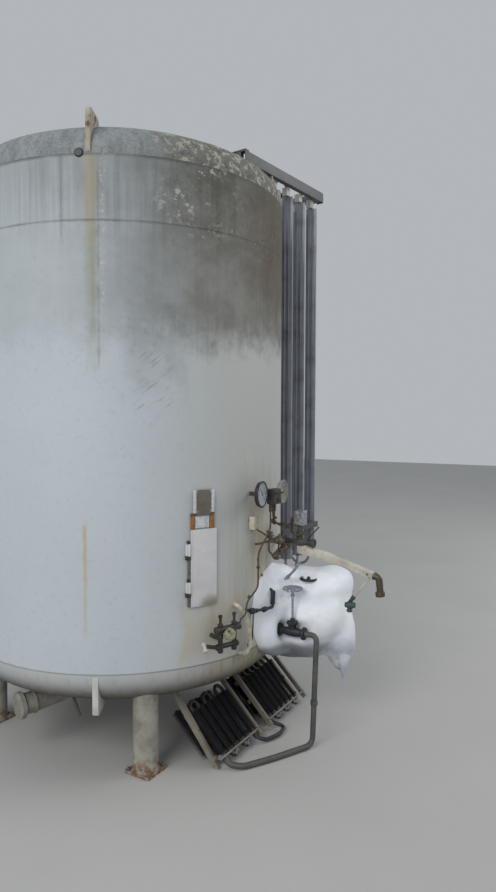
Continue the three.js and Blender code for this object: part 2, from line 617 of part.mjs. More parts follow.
// Fill and vent manifold low on the front
const manifold = new THREE.Group();
manifold.rotation.z = radians(MANIFOLD.azimuth);
tank.add(manifold);
const manifoldCut = jacketCut.rotate([0, 0, -MANIFOLD.azimuth]);
const front = -MANIFOLD.radius;
manifold.add(piece('fill_manifold', join(
  rod([-98, front, MANIFOLD.z], [98, front, MANIFOLD.z], 24, 16),
  rod([-92, front, MANIFOLD.z - 110], [80, front, MANIFOLD.z - 110], 20, 16),
  ...[-52, 52].flatMap((x) => [
    rod([x, front, MANIFOLD.z - 150], [x, front, MANIFOLD.z + 40], 19, 14),
    rod([x, front, MANIFOLD.z + 38], [x, front, MANIFOLD.z + 95], 8, 10),
    rod([x, front, MANIFOLD.z - 60], [x, -1100, MANIFOLD.z - 60], 15, 12),
  ]),
  rod([-88, front, MANIFOLD.z - 110], [-175, front + 30, MANIFOLD.z - 90], 13, 12),
  rod([-170, front + 30, MANIFOLD.z - 75], [-185, front - 15, MANIFOLD.z - 115], 15, 12),
).subtract(manifoldCut), darkSteel));
manifold.add(piece('fill_connection', join(
  rod([10, front - 24.5, MANIFOLD.z - 20], [10, front - 60, MANIFOLD.z - 20], 40, 24),
  rod([10, front - 58, MANIFOLD.z - 20], [10, front - 72, MANIFOLD.z - 20], 30, 24),
), brass));
const conduit = pipe([[100, -1150, 1075], [100, -1238, 1060], [135, -1238, 990], [135, -1238, 850],
  [150, -1150, 800]], 15, 28);
manifold.add(piece('cable_conduit', solid(conduit).subtract(manifoldCut), whitePaint));

// Nameplate, its rusty strips and the notice board, flat against the front left of the jacket
const signs = new THREE.Group();
signs.rotation.z = radians(SIGN_AZIMUTH);
tank.add(signs);
const signCut = jacketCut.rotate([0, 0, -SIGN_AZIMUTH]);
const stripFace = -JACKET_RADIUS - 9;
const plateFace = stripFace - GAP - 5;
const behind = -JACKET_RADIUS + 40;
signs.add(piece('nameplate', block([-62, plateFace, 1717], [62, stripFace - GAP, 1867]), aluminium));
signs.add(piece('sign_bracket', join(
  block([-93, stripFace, 1612], [-64, behind, 1716]),
  block([47, stripFace, 1612], [81, behind, 1716]),
  block([-66, stripFace, 1700], [-54, behind, 1716]),
  block([-56, stripFace, 1700], [56, behind, 1850]),
).subtract(signCut), rustySteel));
signs.add(piece('notice_board', join(
  block([-95, plateFace, 1108], [95, stripFace, 1611]),
  block([-80, stripFace - 2, 1150], [80, behind, 1190]),
  block([-80, stripFace - 2, 1530], [80, behind, 1570]),
).subtract(signCut), whitePaint));

// Ice that has grown over the draw pipework
function lobe(centre, radii) {
  const ball = new THREE.SphereGeometry(1, 20, 10);
  ball.rotateX(Math.PI / 2);
  ball.scale(...radii);
  return ball.translate(...centre);
}

const iceBody = join(
  lobe([94, -1135, 957], [276, 100, 357]),
  lobe([316, -1226, 754], [361, 100, 198]),
  lobe([521, -1276, 907], [315, 387, 259]),
  lobe([449, -1389, 785], [285, 219, 265]),
  lobe([508, -1600, 690], [105, 116, 267]),
  lobe([536, -1483, 1051], [307, 171, 139]),
  lobe([364, -1212, 820], [127, 361, 315]),
  lobe([263, -1216, 1089], [153, 93, 150]),
);
const sleeves = join(
  drawValve(GAP),
  pipe(riserRoute, RISER_RADIUS + GAP, 42, 12),
  rod([VALVE.x, VALVE.y, WHEEL.z - 80], [VALVE.x, VALVE.y, WHEEL.z + 40], WHEEL.radius + 14, 28),
  rod([VALVE.x, VALVE.y, VALVE.z + 80], [VALVE.x, VALVE.y, WHEEL.z - 78], 24, 14),
);
piece('ice_mass', iceBody.subtract(jacketCut).subtract(sleeves), ice);

export default tank;
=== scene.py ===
from math import asin, atan2, cos, exp, pi, radians, sin, sqrt

import bmesh
import bpy
from mathutils import Matrix, Vector, noise


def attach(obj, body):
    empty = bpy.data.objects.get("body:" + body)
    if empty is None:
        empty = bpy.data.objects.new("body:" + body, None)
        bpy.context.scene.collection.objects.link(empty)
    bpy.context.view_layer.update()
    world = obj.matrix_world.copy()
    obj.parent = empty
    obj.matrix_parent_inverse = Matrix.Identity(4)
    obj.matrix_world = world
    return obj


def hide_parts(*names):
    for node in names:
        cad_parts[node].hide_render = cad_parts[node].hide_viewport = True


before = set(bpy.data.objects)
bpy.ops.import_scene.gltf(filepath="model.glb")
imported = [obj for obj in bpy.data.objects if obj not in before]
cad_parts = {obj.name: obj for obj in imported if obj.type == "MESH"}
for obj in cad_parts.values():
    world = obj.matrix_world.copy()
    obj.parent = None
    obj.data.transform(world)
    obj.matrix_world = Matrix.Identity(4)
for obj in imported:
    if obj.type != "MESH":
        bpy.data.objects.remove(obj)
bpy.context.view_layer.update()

# The camera stands in front of the tank, to the left, a little above the valves.
# Its place and aim put the jacket's weld seams and the front leg where the photograph has them.
camera = bpy.data.objects.new("camera", bpy.data.cameras.new("camera"))
bpy.context.scene.collection.objects.link(camera)
camera.data.lens = 26.4
camera.data.sensor_width = 36
view_forward = Vector((0.8634916, 0.50252598, -0.04301052)).normalized()
view_right = Vector((0.5030984, -0.86422416, 0.00293299))
view_right = (view_right - view_forward * view_right.dot(view_forward)).normalized()
view_up = view_right.cross(view_forward)
camera.matrix_world = Matrix((view_right, view_up, -view_forward)).transposed().to_4x4()
camera.matrix_world.translation = (-4.0618, -3.4471, 2.333)
bpy.context.scene.camera = camera

# A pale studio floor of matt card, and the even grey light of an overcast day:
# most of it comes from all round, and two wide soft panels give the jacket its turn.
bpy.context.scene.view_settings.view_transform = "Standard"
sky = bpy.data.worlds.new("overcast")
sky.use_nodes = True
sky.node_tree.nodes["Background"].inputs["Color"].default_value = (0.89, 0.94, 1.0, 1)
sky.node_tree.nodes["Background"].inputs["Strength"].default_value = 0.5
bpy.context.scene.world = sky


def soft_panel(name, place, target, side, watts):
    """A square area light that faces a point on the tank."""
    light = bpy.data.lights.new(name, "AREA")
    light.size = side
    light.energy = watts
    panel = bpy.data.objects.new(name, light)
    panel.location = place
    panel.rotation_euler = (Vector(target) - Vector(place)).to_track_quat("-Z", "Y").to_euler()
    bpy.context.scene.collection.objects.link(panel)


soft_panel("panel_left", (-11, -1, 8), (0, 0, 2), 7, 740)
soft_panel("panel_right", (8, -9, 8), (0, 0, 2), 7, 500)


def srgb(red, green, blue):
    """A colour given as it looks on a screen, 0 to 255, as Blender's linear colour."""
    parts = [c / 255 for c in (red, green, blue)]
    return tuple(c / 12.92 if c < 0.04 else ((c + 0.055) / 1.055) ** 2.4 for c in parts) + (1,)


def put(tree, kind, inputs=None, **settings):
    """Adds one shader node; an input given as a socket is linked, and any other is set."""
    node = tree.nodes.new("ShaderNode" + kind)
    for key, value in settings.items():
        setattr(node, key, value)
    for name, value in (inputs or {}).items():
        if isinstance(value, bpy.types.NodeSocket):
            tree.links.new(value, node.inputs[name])
        else:
            node.inputs[name].default_value = value
    return node


def mix(tree, mask, under, over):
    """One colour over another through a mask: each a socket, or three numbers as on a screen."""
    under, over = (srgb(*tone) if isinstance(tone, tuple) else tone for tone in (under, over))
    return put(tree, "Mix", {0: mask, 6: under, 7: over}, data_type="RGBA").outputs[2]


def speckle(tree, place, scale, detail=3.0, rough=0.55):
    """Plain noise from 0 to 1 over a place."""
    inputs = {"Vector": place, "Scale": scale, "Detail": detail, "Roughness": rough}
    return put(tree, "TexNoise", inputs).outputs[0]


def new_finish(name, roughness, metallic=0.0):
    """An empty material, its shader, and the place on the tank in metres."""
    finish = bpy.data.materials.new(name)
    finish.use_nodes = True
    shader = finish.node_tree.nodes["Principled BSDF"]
    shader.inputs["Roughness"].default_value = roughness
    shader.inputs["Metallic"].default_value = metallic
    return finish, finish.node_tree, shader, put(finish.node_tree, "TexCoord").outputs["Object"]


pale_card, tree, shader, place = new_finish("pale_card", 0.9)
card_tone = mix(tree, speckle(tree, place, 0.7), (176, 175, 171), (188, 187, 183))
tree.links.new(card_tone, shader.inputs["Base Color"])
floor_mesh = bpy.data.meshes.new("floor")
floor_mesh.from_pydata([(-30, -30, 0), (30, -30, 0), (30, 30, 0), (-30, 30, 0)], [], [(0, 1, 2, 3)])
floor_mesh.materials.append(pale_card)
floor = bpy.data.objects.new("floor", floor_mesh)
bpy.context.scene.collection.objects.link(floor)

# Jacket: two courses of 10 mm carbon-steel plate, rolled and butt-welded round at 3.54 m.
# It holds the vacuum round the cold inner vessel, so the plate is slightly out of true, and its
# pale grey paint carries rain runs, green dirt and, round the top right, browner old grime.
UP = (0, 0, 1)
JACKET_RADIUS = 1.1988
JACKET_INSIDE = 1.19
# turns an angle round the jacket into the arc along it
ARC_RADIUS = 1.2
# the height of each weld seam, and how near, how far and how thickly dirt lies along it
SEAMS = {3.941: (0.009, 0.034, 0.85), 3.538: (0.007, 0.022, 0.6), 0.714: (0.004, 0.016, 0.42)}
PLATE_SAG = 0.0016
JACKET_SIDES = 288
SEAM_SINK = 0.0009
# arc from the front (m), height, half width, half height, depth
JACKET_DENTS = [(-0.97, 2.6, 0.05, 0.012, 0.005), (-0.86, 2.57, 0.04, 0.01, 0.004),
                (-0.83, 2.49, 0.03, 0.012, 0.005), (0.35, 2.2, 0.2, 0.15, 0.004),
                (-1.1, 1.3, 0.25, 0.2, 0.003), (2.3, 1.9, 0.3, 0.25, 0.006)]


def turned(mesh, profile, at=(0, 0, 0), axis=UP, sides=32, ring=False):
    """Turns a profile of (radius, along) points about an axis; a ring's profile closes on itself."""
    turn = Vector(UP).rotation_difference(Vector(axis)).to_matrix()
    rows = []
    for radius, along in profile:
        count = 1 if radius < 1e-6 else sides
        angles = [2 * pi * k / sides for k in range(count)]
        spots = [Vector((radius * cos(a), radius * sin(a), along)) for a in angles]
        rows.append([mesh.verts.new(Vector(at) + turn @ spot) for spot in spots])
    for low, high in list(zip(rows, rows[1:])) + ([(rows[-1], rows[0])] if ring else []):
        for k in range(sides):
            j = (k + 1) % sides
            if len(low) == 1:
                mesh.faces.new((low[0], high[j], high[k]))
            elif len(high) == 1:
                mesh.faces.new((low[k], low[j], high[0]))
            else:
                mesh.faces.new((low[k], low[j], high[j], high[k]))


def piece(name, mesh, finish, body="tank", node=None, crease=38, turn=None):
    """Hands a mesh over as one piece that rides on a body; node is the CAD node it replaces."""
    if turn:
        mesh.transform(turn)
    bmesh.ops.recalc_face_normals(mesh, faces=mesh.faces)
    data = bpy.data.meshes.new(name)
    mesh.to_mesh(data)
    mesh.free()
    data.materials.append(finish)
    data.shade_smooth()
    data.set_sharp_from_angle(angle=radians(crease))
    thing = bpy.data.objects.new(name, data)
    bpy.context.scene.collection.objects.link(thing)
    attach(thing, body)
    if node:
        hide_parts(node)


def plate_wave(place):
    """How far the rolled plate lies inside its true round at a place, in metres."""
    arc = atan2(place.x, -place.y) * ARC_RADIUS
    wave = PLATE_SAG * (0.5 + 0.5 * noise.noise(Vector((arc * 1.1, place.z * 0.9, 3.1))))
    for centre, height, wide, tall, deep in JACKET_DENTS:
        off = ((arc - centre) / wide) ** 2 + ((place.z - height) / tall) ** 2
        wave += deep * exp(-off)
    for seam in SEAMS:
        wave += SEAM_SINK * exp(-((place.z - seam) / 0.03) ** 2)
    return wave


def rolled_course(name, low, high, rows, node):
    mesh = bmesh.new()
    outer = [(JACKET_RADIUS, low + (high - low) * k / rows) for k in range(rows + 1)]
    turned(mesh, outer + [(JACKET_INSIDE, high), (JACKET_INSIDE, low)], sides=JACKET_SIDES, ring=True)
    for corner in mesh.verts:
        if corner.co.xy.length > JACKET_INSIDE + 0.005:
            corner.co.xy *= 1 - plate_wave(corner.co) / JACKET_RADIUS
    piece(name, mesh, jacket_paint, node=node)


def new_group(name, inputs, outputs):
    """A shared effect: a node group with named inputs and outputs."""
    group = bpy.data.node_groups.new(name, "ShaderNodeTree")
    for label, value in inputs.items():
        kind = "NodeSocketVector" if value is None else "NodeSocketFloat"
        socket = group.interface.new_socket(label, in_out="INPUT", socket_type=kind)
        if value is not None:
            socket.default_value = value
    for label, kind in outputs.items():
        group.interface.new_socket(label, in_out="OUTPUT", socket_type="NodeSocket" + kind)
    entry = group.nodes.new("NodeGroupInput").outputs
    leave = group.nodes.new("NodeGroupOutput").inputs
    return group, entry, leave


def sum_up(tree, operation, first, second=0.0, third=0.0):
    return put(tree, "Math", {0: first, 1: second, 2: third}, operation=operation).outputs[0]


def times(tree, first, *others):
    """The product of some masks and values."""
    for other in others:
        first = sum_up(tree, "MULTIPLY", first, other)
    return first


def plus_share(tree, value, share, base):
    """A share of one value added to another."""
    return sum_up(tree, "MULTIPLY_ADD", value, share, base)


def split(tree, place):
    return put(tree, "SeparateXYZ", {0: place}).outputs


def joined(tree, x, y, z=0.0):
    return put(tree, "CombineXYZ", {"X": x, "Y": y, "Z": z}).outputs[0]


def step_up(tree, value, low, high, start=0.0, end=1.0):
    """A smooth rise from start to end as the value goes from low to high."""
    inputs = {"Value": value, "From Min": low, "From Max": high, "To Min": start, "To Max": end}
    return put(tree, "MapRange", inputs, interpolation_type="SMOOTHSTEP").outputs[0]


def fall_off(tree, value, near, far):
    """One where the value is below near, and nothing beyond far."""
    return step_up(tree, value, near, far, 1.0, 0.0)


# Places on the jacket: the arc from the front, the height, and the place with its height second.
# Side is the arc again, turned back round the rear, so that nothing jumps where the arc ends.
REAR_ARC = 0.9
unrolled, entry, leave = new_group("jacket_unrolled", {"Place": None},
        {"Arc": "Float", "Side": "Float", "Height": "Float", "Flat": "Vector"})
tree = unrolled
parts = split(tree, entry["Place"])
front_way = times(tree, parts["Y"], -1.0)
arc = times(tree, sum_up(tree, "ARCTAN2", parts["X"], front_way), ARC_RADIUS)
flat = joined(tree, parts["X"], parts["Z"], parts["Y"])
turned_back = sum_up(tree, "SUBTRACT", 2 * REAR_ARC, arc)
tree.links.new(sum_up(tree, "MINIMUM", arc, turned_back), leave["Side"])
tree.links.new(arc, leave["Arc"])
tree.links.new(parts["Z"], leave["Height"])
tree.links.new(flat, leave["Flat"])

# Rain runs: long streaks straight down a wall, of a given spacing and length in metres.
rain_runs, entry, leave = new_group("rain_runs",
        {"Place": None, "Spacing": 0.05, "Length": 0.8, "Least": 0.5, "Most": 0.7}, {"Mask": "Float"})
tree = rain_runs
parts = split(tree, entry["Place"])
across = sum_up(tree, "DIVIDE", parts["X"], entry["Spacing"])
also_across = sum_up(tree, "DIVIDE", parts["Z"], entry["Spacing"])
down = sum_up(tree, "DIVIDE", parts["Y"], entry["Length"])
stretched = joined(tree, across, down, also_across)
runs = speckle(tree, stretched, 1.0, 4.0, 0.6)
tree.links.new(step_up(tree, runs, entry["Least"], entry["Most"]), leave["Mask"])

# A stain at one place on the jacket, soft at its edges and broken up by noise; END_FADE is how
# much more slowly it fades at its top and foot than at its sides.
END_FADE = 0.22
placed_stain, entry, leave = new_group("placed_stain",
        {"Flat": None, "Arc": 0.0, "Half width": 0.05, "Top": 3.0, "Foot": 2.0, "Soft": 0.03, "Broken": 0.05,
         "Grain": 12.0}, {"Mask": "Float"})
tree = placed_stain
parts = split(tree, entry["Flat"])
rough_edge = speckle(tree, entry["Flat"], entry["Grain"], 5.0, 0.62)
shift = times(tree, sum_up(tree, "SUBTRACT", rough_edge, 0.5), entry["Broken"])
around = sum_up(tree, "ARCTAN2", parts["X"], times(tree, parts["Z"], -1.0))
around = times(tree, around, ARC_RADIUS)
beside = sum_up(tree, "ABSOLUTE", sum_up(tree, "SUBTRACT", around, entry["Arc"]))
inside = sum_up(tree, "SUBTRACT", entry["Half width"], beside)
below = times(tree, sum_up(tree, "SUBTRACT", entry["Top"], parts["Y"]), END_FADE)
above = times(tree, sum_up(tree, "SUBTRACT", parts["Y"], entry["Foot"]), END_FADE)
reach = sum_up(tree, "MINIMUM", sum_up(tree, "MINIMUM", inside, below), above)
reach = sum_up(tree, "ADD", reach, shift)
tree.links.new(step_up(tree, reach, 0.0, entry["Soft"]), leave["Mask"])

# Lichen and flaking paint: small islands with ragged edges, from a few to nearly all over.
ragged_islands, entry, leave = new_group("ragged_islands",
        {"Place": None, "Size": 0.03, "Cover": 0.4, "Sharp": 0.06}, {"Mask": "Float"})
tree = ragged_islands
scaled = put(tree, "VectorMath", {0: entry["Place"], 1: entry["Size"]}, operation="DIVIDE")
patches = speckle(tree, scaled.outputs[0], 1.0, 6.0, 0.68)
level = sum_up(tree, "SUBTRACT", 1.0, entry["Cover"])
level = plus_share(tree, level, 0.5, 0.25)
ragged = step_up(tree, patches, level, sum_up(tree, "ADD", level, entry["Sharp"]))
tree.links.new(ragged, leave["Mask"])


def placed(tree, group, inputs):
    """Places a shared effect and gives its outputs."""
    return put(tree, "Group", inputs, node_tree=group).outputs


def rain(tree, place, spacing, length, least, most):
    inputs = {"Place": place, "Spacing": spacing, "Length": length, "Least": least, "Most": most}
    return placed(tree, rain_runs, inputs)["Mask"]


def islands(tree, place, size, cover, sharp):
    inputs = {"Place": place, "Size": size, "Cover": cover, "Sharp": sharp}
    return placed(tree, ragged_islands, inputs)["Mask"]


def jacket_stain(tree, flat, arc, half, top, foot, soft=0.03, broken=0.05, grain=12.0):
    inputs = {"Flat": flat, "Arc": arc, "Half width": half, "Top": top, "Foot": foot,
              "Soft": soft, "Broken": broken, "Grain": grain}
    return placed(tree, placed_stain, inputs)["Mask"]


def stained(tree, colour, tone, *masks):
    """A tone laid over a colour, as strongly as all its masks together let it through."""
    return mix(tree, times(tree, *masks), colour, tone)


def dressed(tree, shader, colour, height, depth, roughness=None):
    """Gives a shader its colour, its relief in metres and, where it varies, its roughness."""
    tree.links.new(colour, shader.inputs["Base Color"])
    if roughness:
        tree.links.new(roughness, shader.inputs["Roughness"])
    bump = put(tree, "Bump", {"Height": height, "Distance": depth}).outputs[0]
    tree.links.new(bump, shader.inputs["Normal"])


jacket_paint, tree, shader, place = new_finish("jacket_paint", 0.5)
round_it = placed(tree, unrolled, {"Place": place})
flat, arc, side, height = (round_it[way] for way in ("Flat", "Arc", "Side", "Height"))
# clean paint, faintly cloudy and scuffed, and a little yellower towards the pipework
colour = mix(tree, speckle(tree, flat, 2.2, 5.0), (184, 191, 197), (194, 200, 205))
scuffed = step_up(tree, speckle(tree, flat, 26.0, 6.0, 0.7), 0.52, 0.74, 0.0, 0.26)
colour = mix(tree, scuffed, colour, (146, 150, 150))
colour = mix(tree, step_up(tree, side, -1.1, -0.2, 0.0, 0.75), colour, (182, 182, 174))
# dirt veil over the upper wall: thin and soft at the left, heavy and brown at the right
fine_runs = rain(tree, flat, 0.028, 1.6, 0.3, 0.75)
wide_runs = rain(tree, flat, 0.13, 2.2, 0.36, 0.72)
wavy = plus_share(tree, speckle(tree, flat, 4.5, 5.0, 0.6), 0.34, height)
wavy = plus_share(tree, speckle(tree, flat, 13.0, 5.0, 0.65), 0.2, wavy)
wavy = plus_share(tree, fine_runs, 0.03, wavy)
rightward = step_up(tree, side, -1.75, -0.3, 0.36, 0.97)
thin_veil = step_up(tree, wavy, 2.6, 3.5)
thick_veil = step_up(tree, wavy, 2.98, 3.26)
veil = times(tree, mix(tree, rightward, thin_veil, thick_veil), rightward)
mottled = step_up(tree, speckle(tree, flat, 5.0, 7.0, 0.68), 0.32, 0.68, 0.74, 0.96)
streaked = plus_share(tree, fine_runs, 0.06, plus_share(tree, wide_runs, 0.1, mottled))
higher = step_up(tree, height, 3.0, 3.9, 0.82, 1.06)
veil = times(tree, veil, streaked, higher)
dirt_tone = mix(tree, step_up(tree, side, -1.5, -0.5), (104, 108, 104), (88, 84, 74))
colour = mix(tree, veil, colour, dirt_tone)
# the wall goes darker in streaks towards its top
streaked_darker_top = times(tree, step_up(tree, plus_share(tree, fine_runs, 0.3, height), 3.55, 4.05),
              step_up(tree, wide_runs, 0.0, 1.0, 0.22, 0.42))
colour = mix(tree, streaked_darker_top, colour, (84, 88, 86))
drifted = jacket_stain(tree, flat, -0.88, 0.24, 3.25, 2.35, 0.12, 0.22, 6.0)
colour = stained(tree, colour, (98, 100, 96), drifted, 0.3)
# a few darker runs from the top seam
dark_runs = rain(tree, flat, 0.085, 2.6, 0.6, 0.72)
colour = stained(tree, colour, (92, 97, 94), dark_runs, step_up(tree, height, 3.0, 3.9, 0.0, 0.28))
# lichen and lifted paint near the top at the right
right_side = step_up(tree, side, -0.98, -0.72)
flaked = islands(tree, flat, 0.04, 0.42, 0.07)
sparse = step_up(tree, speckle(tree, flat, 4.0, 3.0), 0.42, 0.6)
flaked = times(tree, flaked, sparse, step_up(tree, height, 3.35, 3.62), right_side)
colour = stained(tree, colour, (190, 190, 180), flaked, 0.85)
specks = islands(tree, flat, 0.022, 0.4, 0.08)
specks = times(tree, specks, step_up(tree, height, 3.2, 3.9), right_side)
colour = stained(tree, colour, (66, 64, 56), specks, 0.42)
# brown run-off where the wall turns away at the right
browned = times(tree, step_up(tree, arc, -0.38, 0.12), fall_off(tree, arc, 0.9, 1.6))
browned = times(tree, browned, step_up(tree, wavy, 3.15, 3.6, 0.0, 0.8))
colour = mix(tree, browned, colour, (82, 71, 52))
# one old run of black water at the left
black_run = jacket_stain(tree, flat, -1.466, 0.016, 4.1, 3.4, 0.018, 0.05, 9.0)
colour = stained(tree, colour, (92, 97, 96), black_run, 0.34)
# the band below the lifting lug: beige, then green lower down, with a dark right-hand edge
band = jacket_stain(tree, flat, -1.283, 0.06, 4.3, 2.5, 0.055, 0.1, 9.0)
band_tone = mix(tree, step_up(tree, height, 3.0, 3.75), (142, 148, 128), (158, 148, 126))
band_worn = times(tree, step_up(tree, height, 2.6, 3.6, 0.25, 0.85), mottled)
colour = stained(tree, colour, band_tone, band, band_worn)
band_green = jacket_stain(tree, flat, -1.268, 0.026, 4.1, 2.8, 0.025, 0.06, 8.0)
colour = stained(tree, colour, (124, 128, 98), band_green, 0.32)
band_edge = jacket_stain(tree, flat, -1.236, 0.012, 4.2, 2.6, 0.016, 0.045, 9.0)
colour = stained(tree, colour, (98, 98, 86), band_edge, 0.34)
band_flakes = jacket_stain(tree, flat, -1.21, 0.024, 4.2, 2.9, 0.03, 0.06, 9.0)
band_flakes = times(tree, band_flakes, step_up(tree, speckle(tree, flat, 45.0, 4.0), 0.5, 0.62))
colour = stained(tree, colour, (200, 203, 200), band_flakes, 0.45)
# the thin rust streak under it; the pale run below the gauges, which is also painted light that lifts the
# shade cast there by the fittings; and dirt low at the right
streak = jacket_stain(tree, flat, -1.332, 0.021, 1.7, 0.92, 0.022, 0.03, 14.0)
colour = stained(tree, colour, (184, 164, 116), streak, step_up(tree, height, 1.0, 1.6, 0.35, 0.8))
pale_run_and_painted_light = jacket_stain(tree, flat, -0.02, 0.17, 2.1, 0.6, 0.14, 0.26, 7.0)
colour = stained(tree, colour, (220, 206, 176), pale_run_and_painted_light, 0.6)
tan_run = jacket_stain(tree, flat, -0.495, 0.045, 1.26, 0.86, 0.05, 0.07, 12.0)
colour = stained(tree, colour, (168, 146, 112), tan_run, 0.45)
tan_wash = jacket_stain(tree, flat, -0.5, 0.26, 1.26, 0.6, 0.07, 0.14, 7.0)
colour = stained(tree, colour, (184, 170, 138), tan_wash, 0.5)
low_runs = rain(tree, flat, 0.06, 0.6, 0.36, 0.7)
low_dirt = times(tree, step_up(tree, side, -0.75, 0.0), fall_off(tree, height, 1.0, 2.5))
colour = stained(tree, colour, (156, 144, 118), low_dirt, low_runs, 0.5)
# dirt held by the weld seams, blacker where it is thick
for seam, (near, far, most) in SEAMS.items():
    off = sum_up(tree, "ABSOLUTE", sum_up(tree, "SUBTRACT", height, seam))
    ragged_off = plus_share(tree, speckle(tree, flat, 14.0, 4.0), 0.014, off)
    near_seam = fall_off(tree, ragged_off, near, far)
    thickness = step_up(tree, speckle(tree, flat, 2.6, 4.0), 0.38, 0.62, most * 0.5, most)
    held = times(tree, near_seam, thickness)
    colour = mix(tree, held, colour, (74, 76, 73))
# scrapes where something has knocked the wall: pale lifted paint beside dark scratches
scraped = jacket_stain(tree, flat, -0.9, 0.13, 2.85, 2.3, 0.04, 0.1, 9.0)
slanted = put(tree, "VectorRotate", {"Vector": joined(tree, arc, height), "Angle": 0.9},
              rotation_type="Z_AXIS").outputs[0]
scratch = rain(tree, slanted, 0.02, 0.22, 0.55, 0.62)
colour = stained(tree, colour, (128, 134, 138), scraped, scratch, 0.5)
peel = plus_share(tree, flaked, 0.7, times(tree, speckle(tree, flat, 60.0, 3.0), 0.35))
dressed(tree, shader, colour, peel, 0.0012, plus_share(tree, veil, 0.25, 0.48))

rolled_course("jacket_lower", 0.7145, 3.5375, 90, "shell_course_lower")
rolled_course("jacket_upper", 3.5385, 3.9405, 16, "shell_course_upper")

# Top head: a dished end pressed from one plate, with a tight knuckle down to its weld.
# Nobody washes it, so its paint is the greyest, with dark runs over the knuckle and much lichen.
CROWN_RADIUS = 2.4
KNUCKLE = 0.2
PRESSED_IN = 0.0012
TOP_TANGENT = 3.96
# beyond this radius a head follows the dents of the wall below it
NEAR_WELD = 1.15


def dished_end(tangent, up, weld, crown_rows=26, knuckle_rows=14):
    """The profile of a dished end, from its weld over the knuckle to the pole."""
    reach = JACKET_RADIUS - KNUCKLE
    turn = asin(reach / (CROWN_RADIUS - KNUCKLE))
    drop = (CROWN_RADIUS - KNUCKLE) * cos(turn)
    profile = [(JACKET_RADIUS, weld)]
    for k in range(knuckle_rows + 1):
        angle = (pi / 2 - turn) * k / knuckle_rows
        profile.append((reach + KNUCKLE * cos(angle), tangent + up * KNUCKLE * sin(angle)))
    for k in range(1, crown_rows + 1):
        angle = turn * (1 - k / crown_rows)
        lift = CROWN_RADIUS * cos(angle) - drop
        profile.append((CROWN_RADIUS * sin(angle), tangent + up * (lift - PRESSED_IN)))
    return profile


def pressed_head(name, tangent, up, weld, finish, node):
    mesh = bmesh.new()
    turned(mesh, dished_end(tangent, up, weld), sides=JACKET_SIDES)
    for corner in mesh.verts:
        wave = noise.noise(corner.co * 1.6 + Vector((5, 0, 0)))
        corner.co -= corner.co.normalized() * PRESSED_IN * (1 + wave)
        if corner.co.xy.length > NEAR_WELD:
            corner.co.xy *= 1 - plate_wave(corner.co) / JACKET_RADIUS
    rim = [edge for edge in mesh.edges if edge.is_boundary]
    inner = bmesh.ops.extrude_edge_only(mesh, edges=rim)["geom"]
    for corner in inner:
        if isinstance(corner, bmesh.types.BMVert):
            corner.co.xy *= JACKET_INSIDE / corner.co.xy.length
    piece(name, mesh, finish, node=node)


head_paint, tree, shader, place = new_finish("head_paint", 0.72)
round_it = placed(tree, unrolled, {"Place": place})
flat, height = round_it["Flat"], round_it["Height"]
colour = mix(tree, speckle(tree, place, 3.0, 5.0), (128, 134, 137), (146, 151, 153))
runs = rain(tree, flat, 0.05, 0.9, 0.42, 0.68)
colour = stained(tree, colour, (98, 104, 102), runs, 0.5)
# the dirtier half lies to the right of a line over the top
over_top = put(tree, "VectorMath", {0: place, 1: (0.743, -0.669, 0.0)},
               operation="DOT_PRODUCT").outputs["Value"]
right_side = step_up(tree, plus_share(tree, speckle(tree, place, 3.0, 4.0), 0.5, over_top), 0.0, 0.6)
colour = stained(tree, colour, (102, 95, 82), right_side, 0.72)
lichen = islands(tree, place, 0.045, 0.5, 0.05)
few = plus_share(tree, right_side, 0.72, 0.1)
colour = stained(tree, colour, (176, 174, 160), lichen, few)
moss = islands(tree, place, 0.028, 0.42, 0.06)
some = plus_share(tree, right_side, 0.45, 0.2)
colour = stained(tree, colour, (72, 74, 62), moss, some)
crust = sum_up(tree, "ADD", lichen, times(tree, speckle(tree, place, 70.0, 4.0), 0.5))
dressed(tree, shader, colour, crust, 0.0015)

pressed_head("top_dished_end", TOP_TANGENT, 1, 3.9415, head_paint, "top_head")

# Bottom head: the same pressing the other way up, with a wet, dirty edge.
# Rain that runs down the wall drips off here, so it is browner than the wall, most at the right.
BOTTOM_TANGENT = 0.695
belly_paint, tree, shader, place = new_finish("belly_paint", 0.62)
round_it = placed(tree, unrolled, {"Place": place})
flat, side, height = round_it["Flat"], round_it["Side"], round_it["Height"]
colour = mix(tree, speckle(tree, place, 4.0, 5.0), (172, 175, 176), (186, 188, 188))
runs = rain(tree, flat, 0.05, 0.35, 0.4, 0.7)
dirty = times(tree, plus_share(tree, runs, 0.5, 0.35), fall_off(tree, height, 0.52, 0.74))
colour = mix(tree, dirty, colour, (112, 98, 80))
right_side = times(tree, step_up(tree, side, -1.0, -0.1, 0.0, 0.85), step_up(tree, runs, 0.0, 0.8, 0.6, 1.0))
colour = mix(tree, right_side, colour, (134, 118, 82))
# painted shade: the lowest part of the belly is darkened where it faces the ground, its edge broken up by the
# rain runs
belly_underside_shade = fall_off(tree, plus_share(tree, runs, 0.05, height), 0.52, 0.67)
colour = stained(tree, colour, (62, 55, 46), belly_underside_shade, 0.86)
rust = islands(tree, place, 0.09, 0.25, 0.12)
colour = stained(tree, colour, (128, 92, 62), rust, 0.5)
seam_off = sum_up(tree, "ABSOLUTE", sum_up(tree, "SUBTRACT", height, min(SEAMS)))
seam_dirt = times(tree, fall_off(tree, seam_off, 0.003, 0.012), step_up(tree, side, -1.0, 0.0, 0.45, 0.9))
colour = mix(tree, seam_dirt, colour, (112, 113, 108))
dressed(tree, shader, colour, sum_up(tree, "ADD", rust, speckle(tree, place, 50.0, 4.0)), 0.0009)

pressed_head("bottom_dished_end", BOTTOM_TANGENT, -1, 0.7135, belly_paint, "bottom_head")

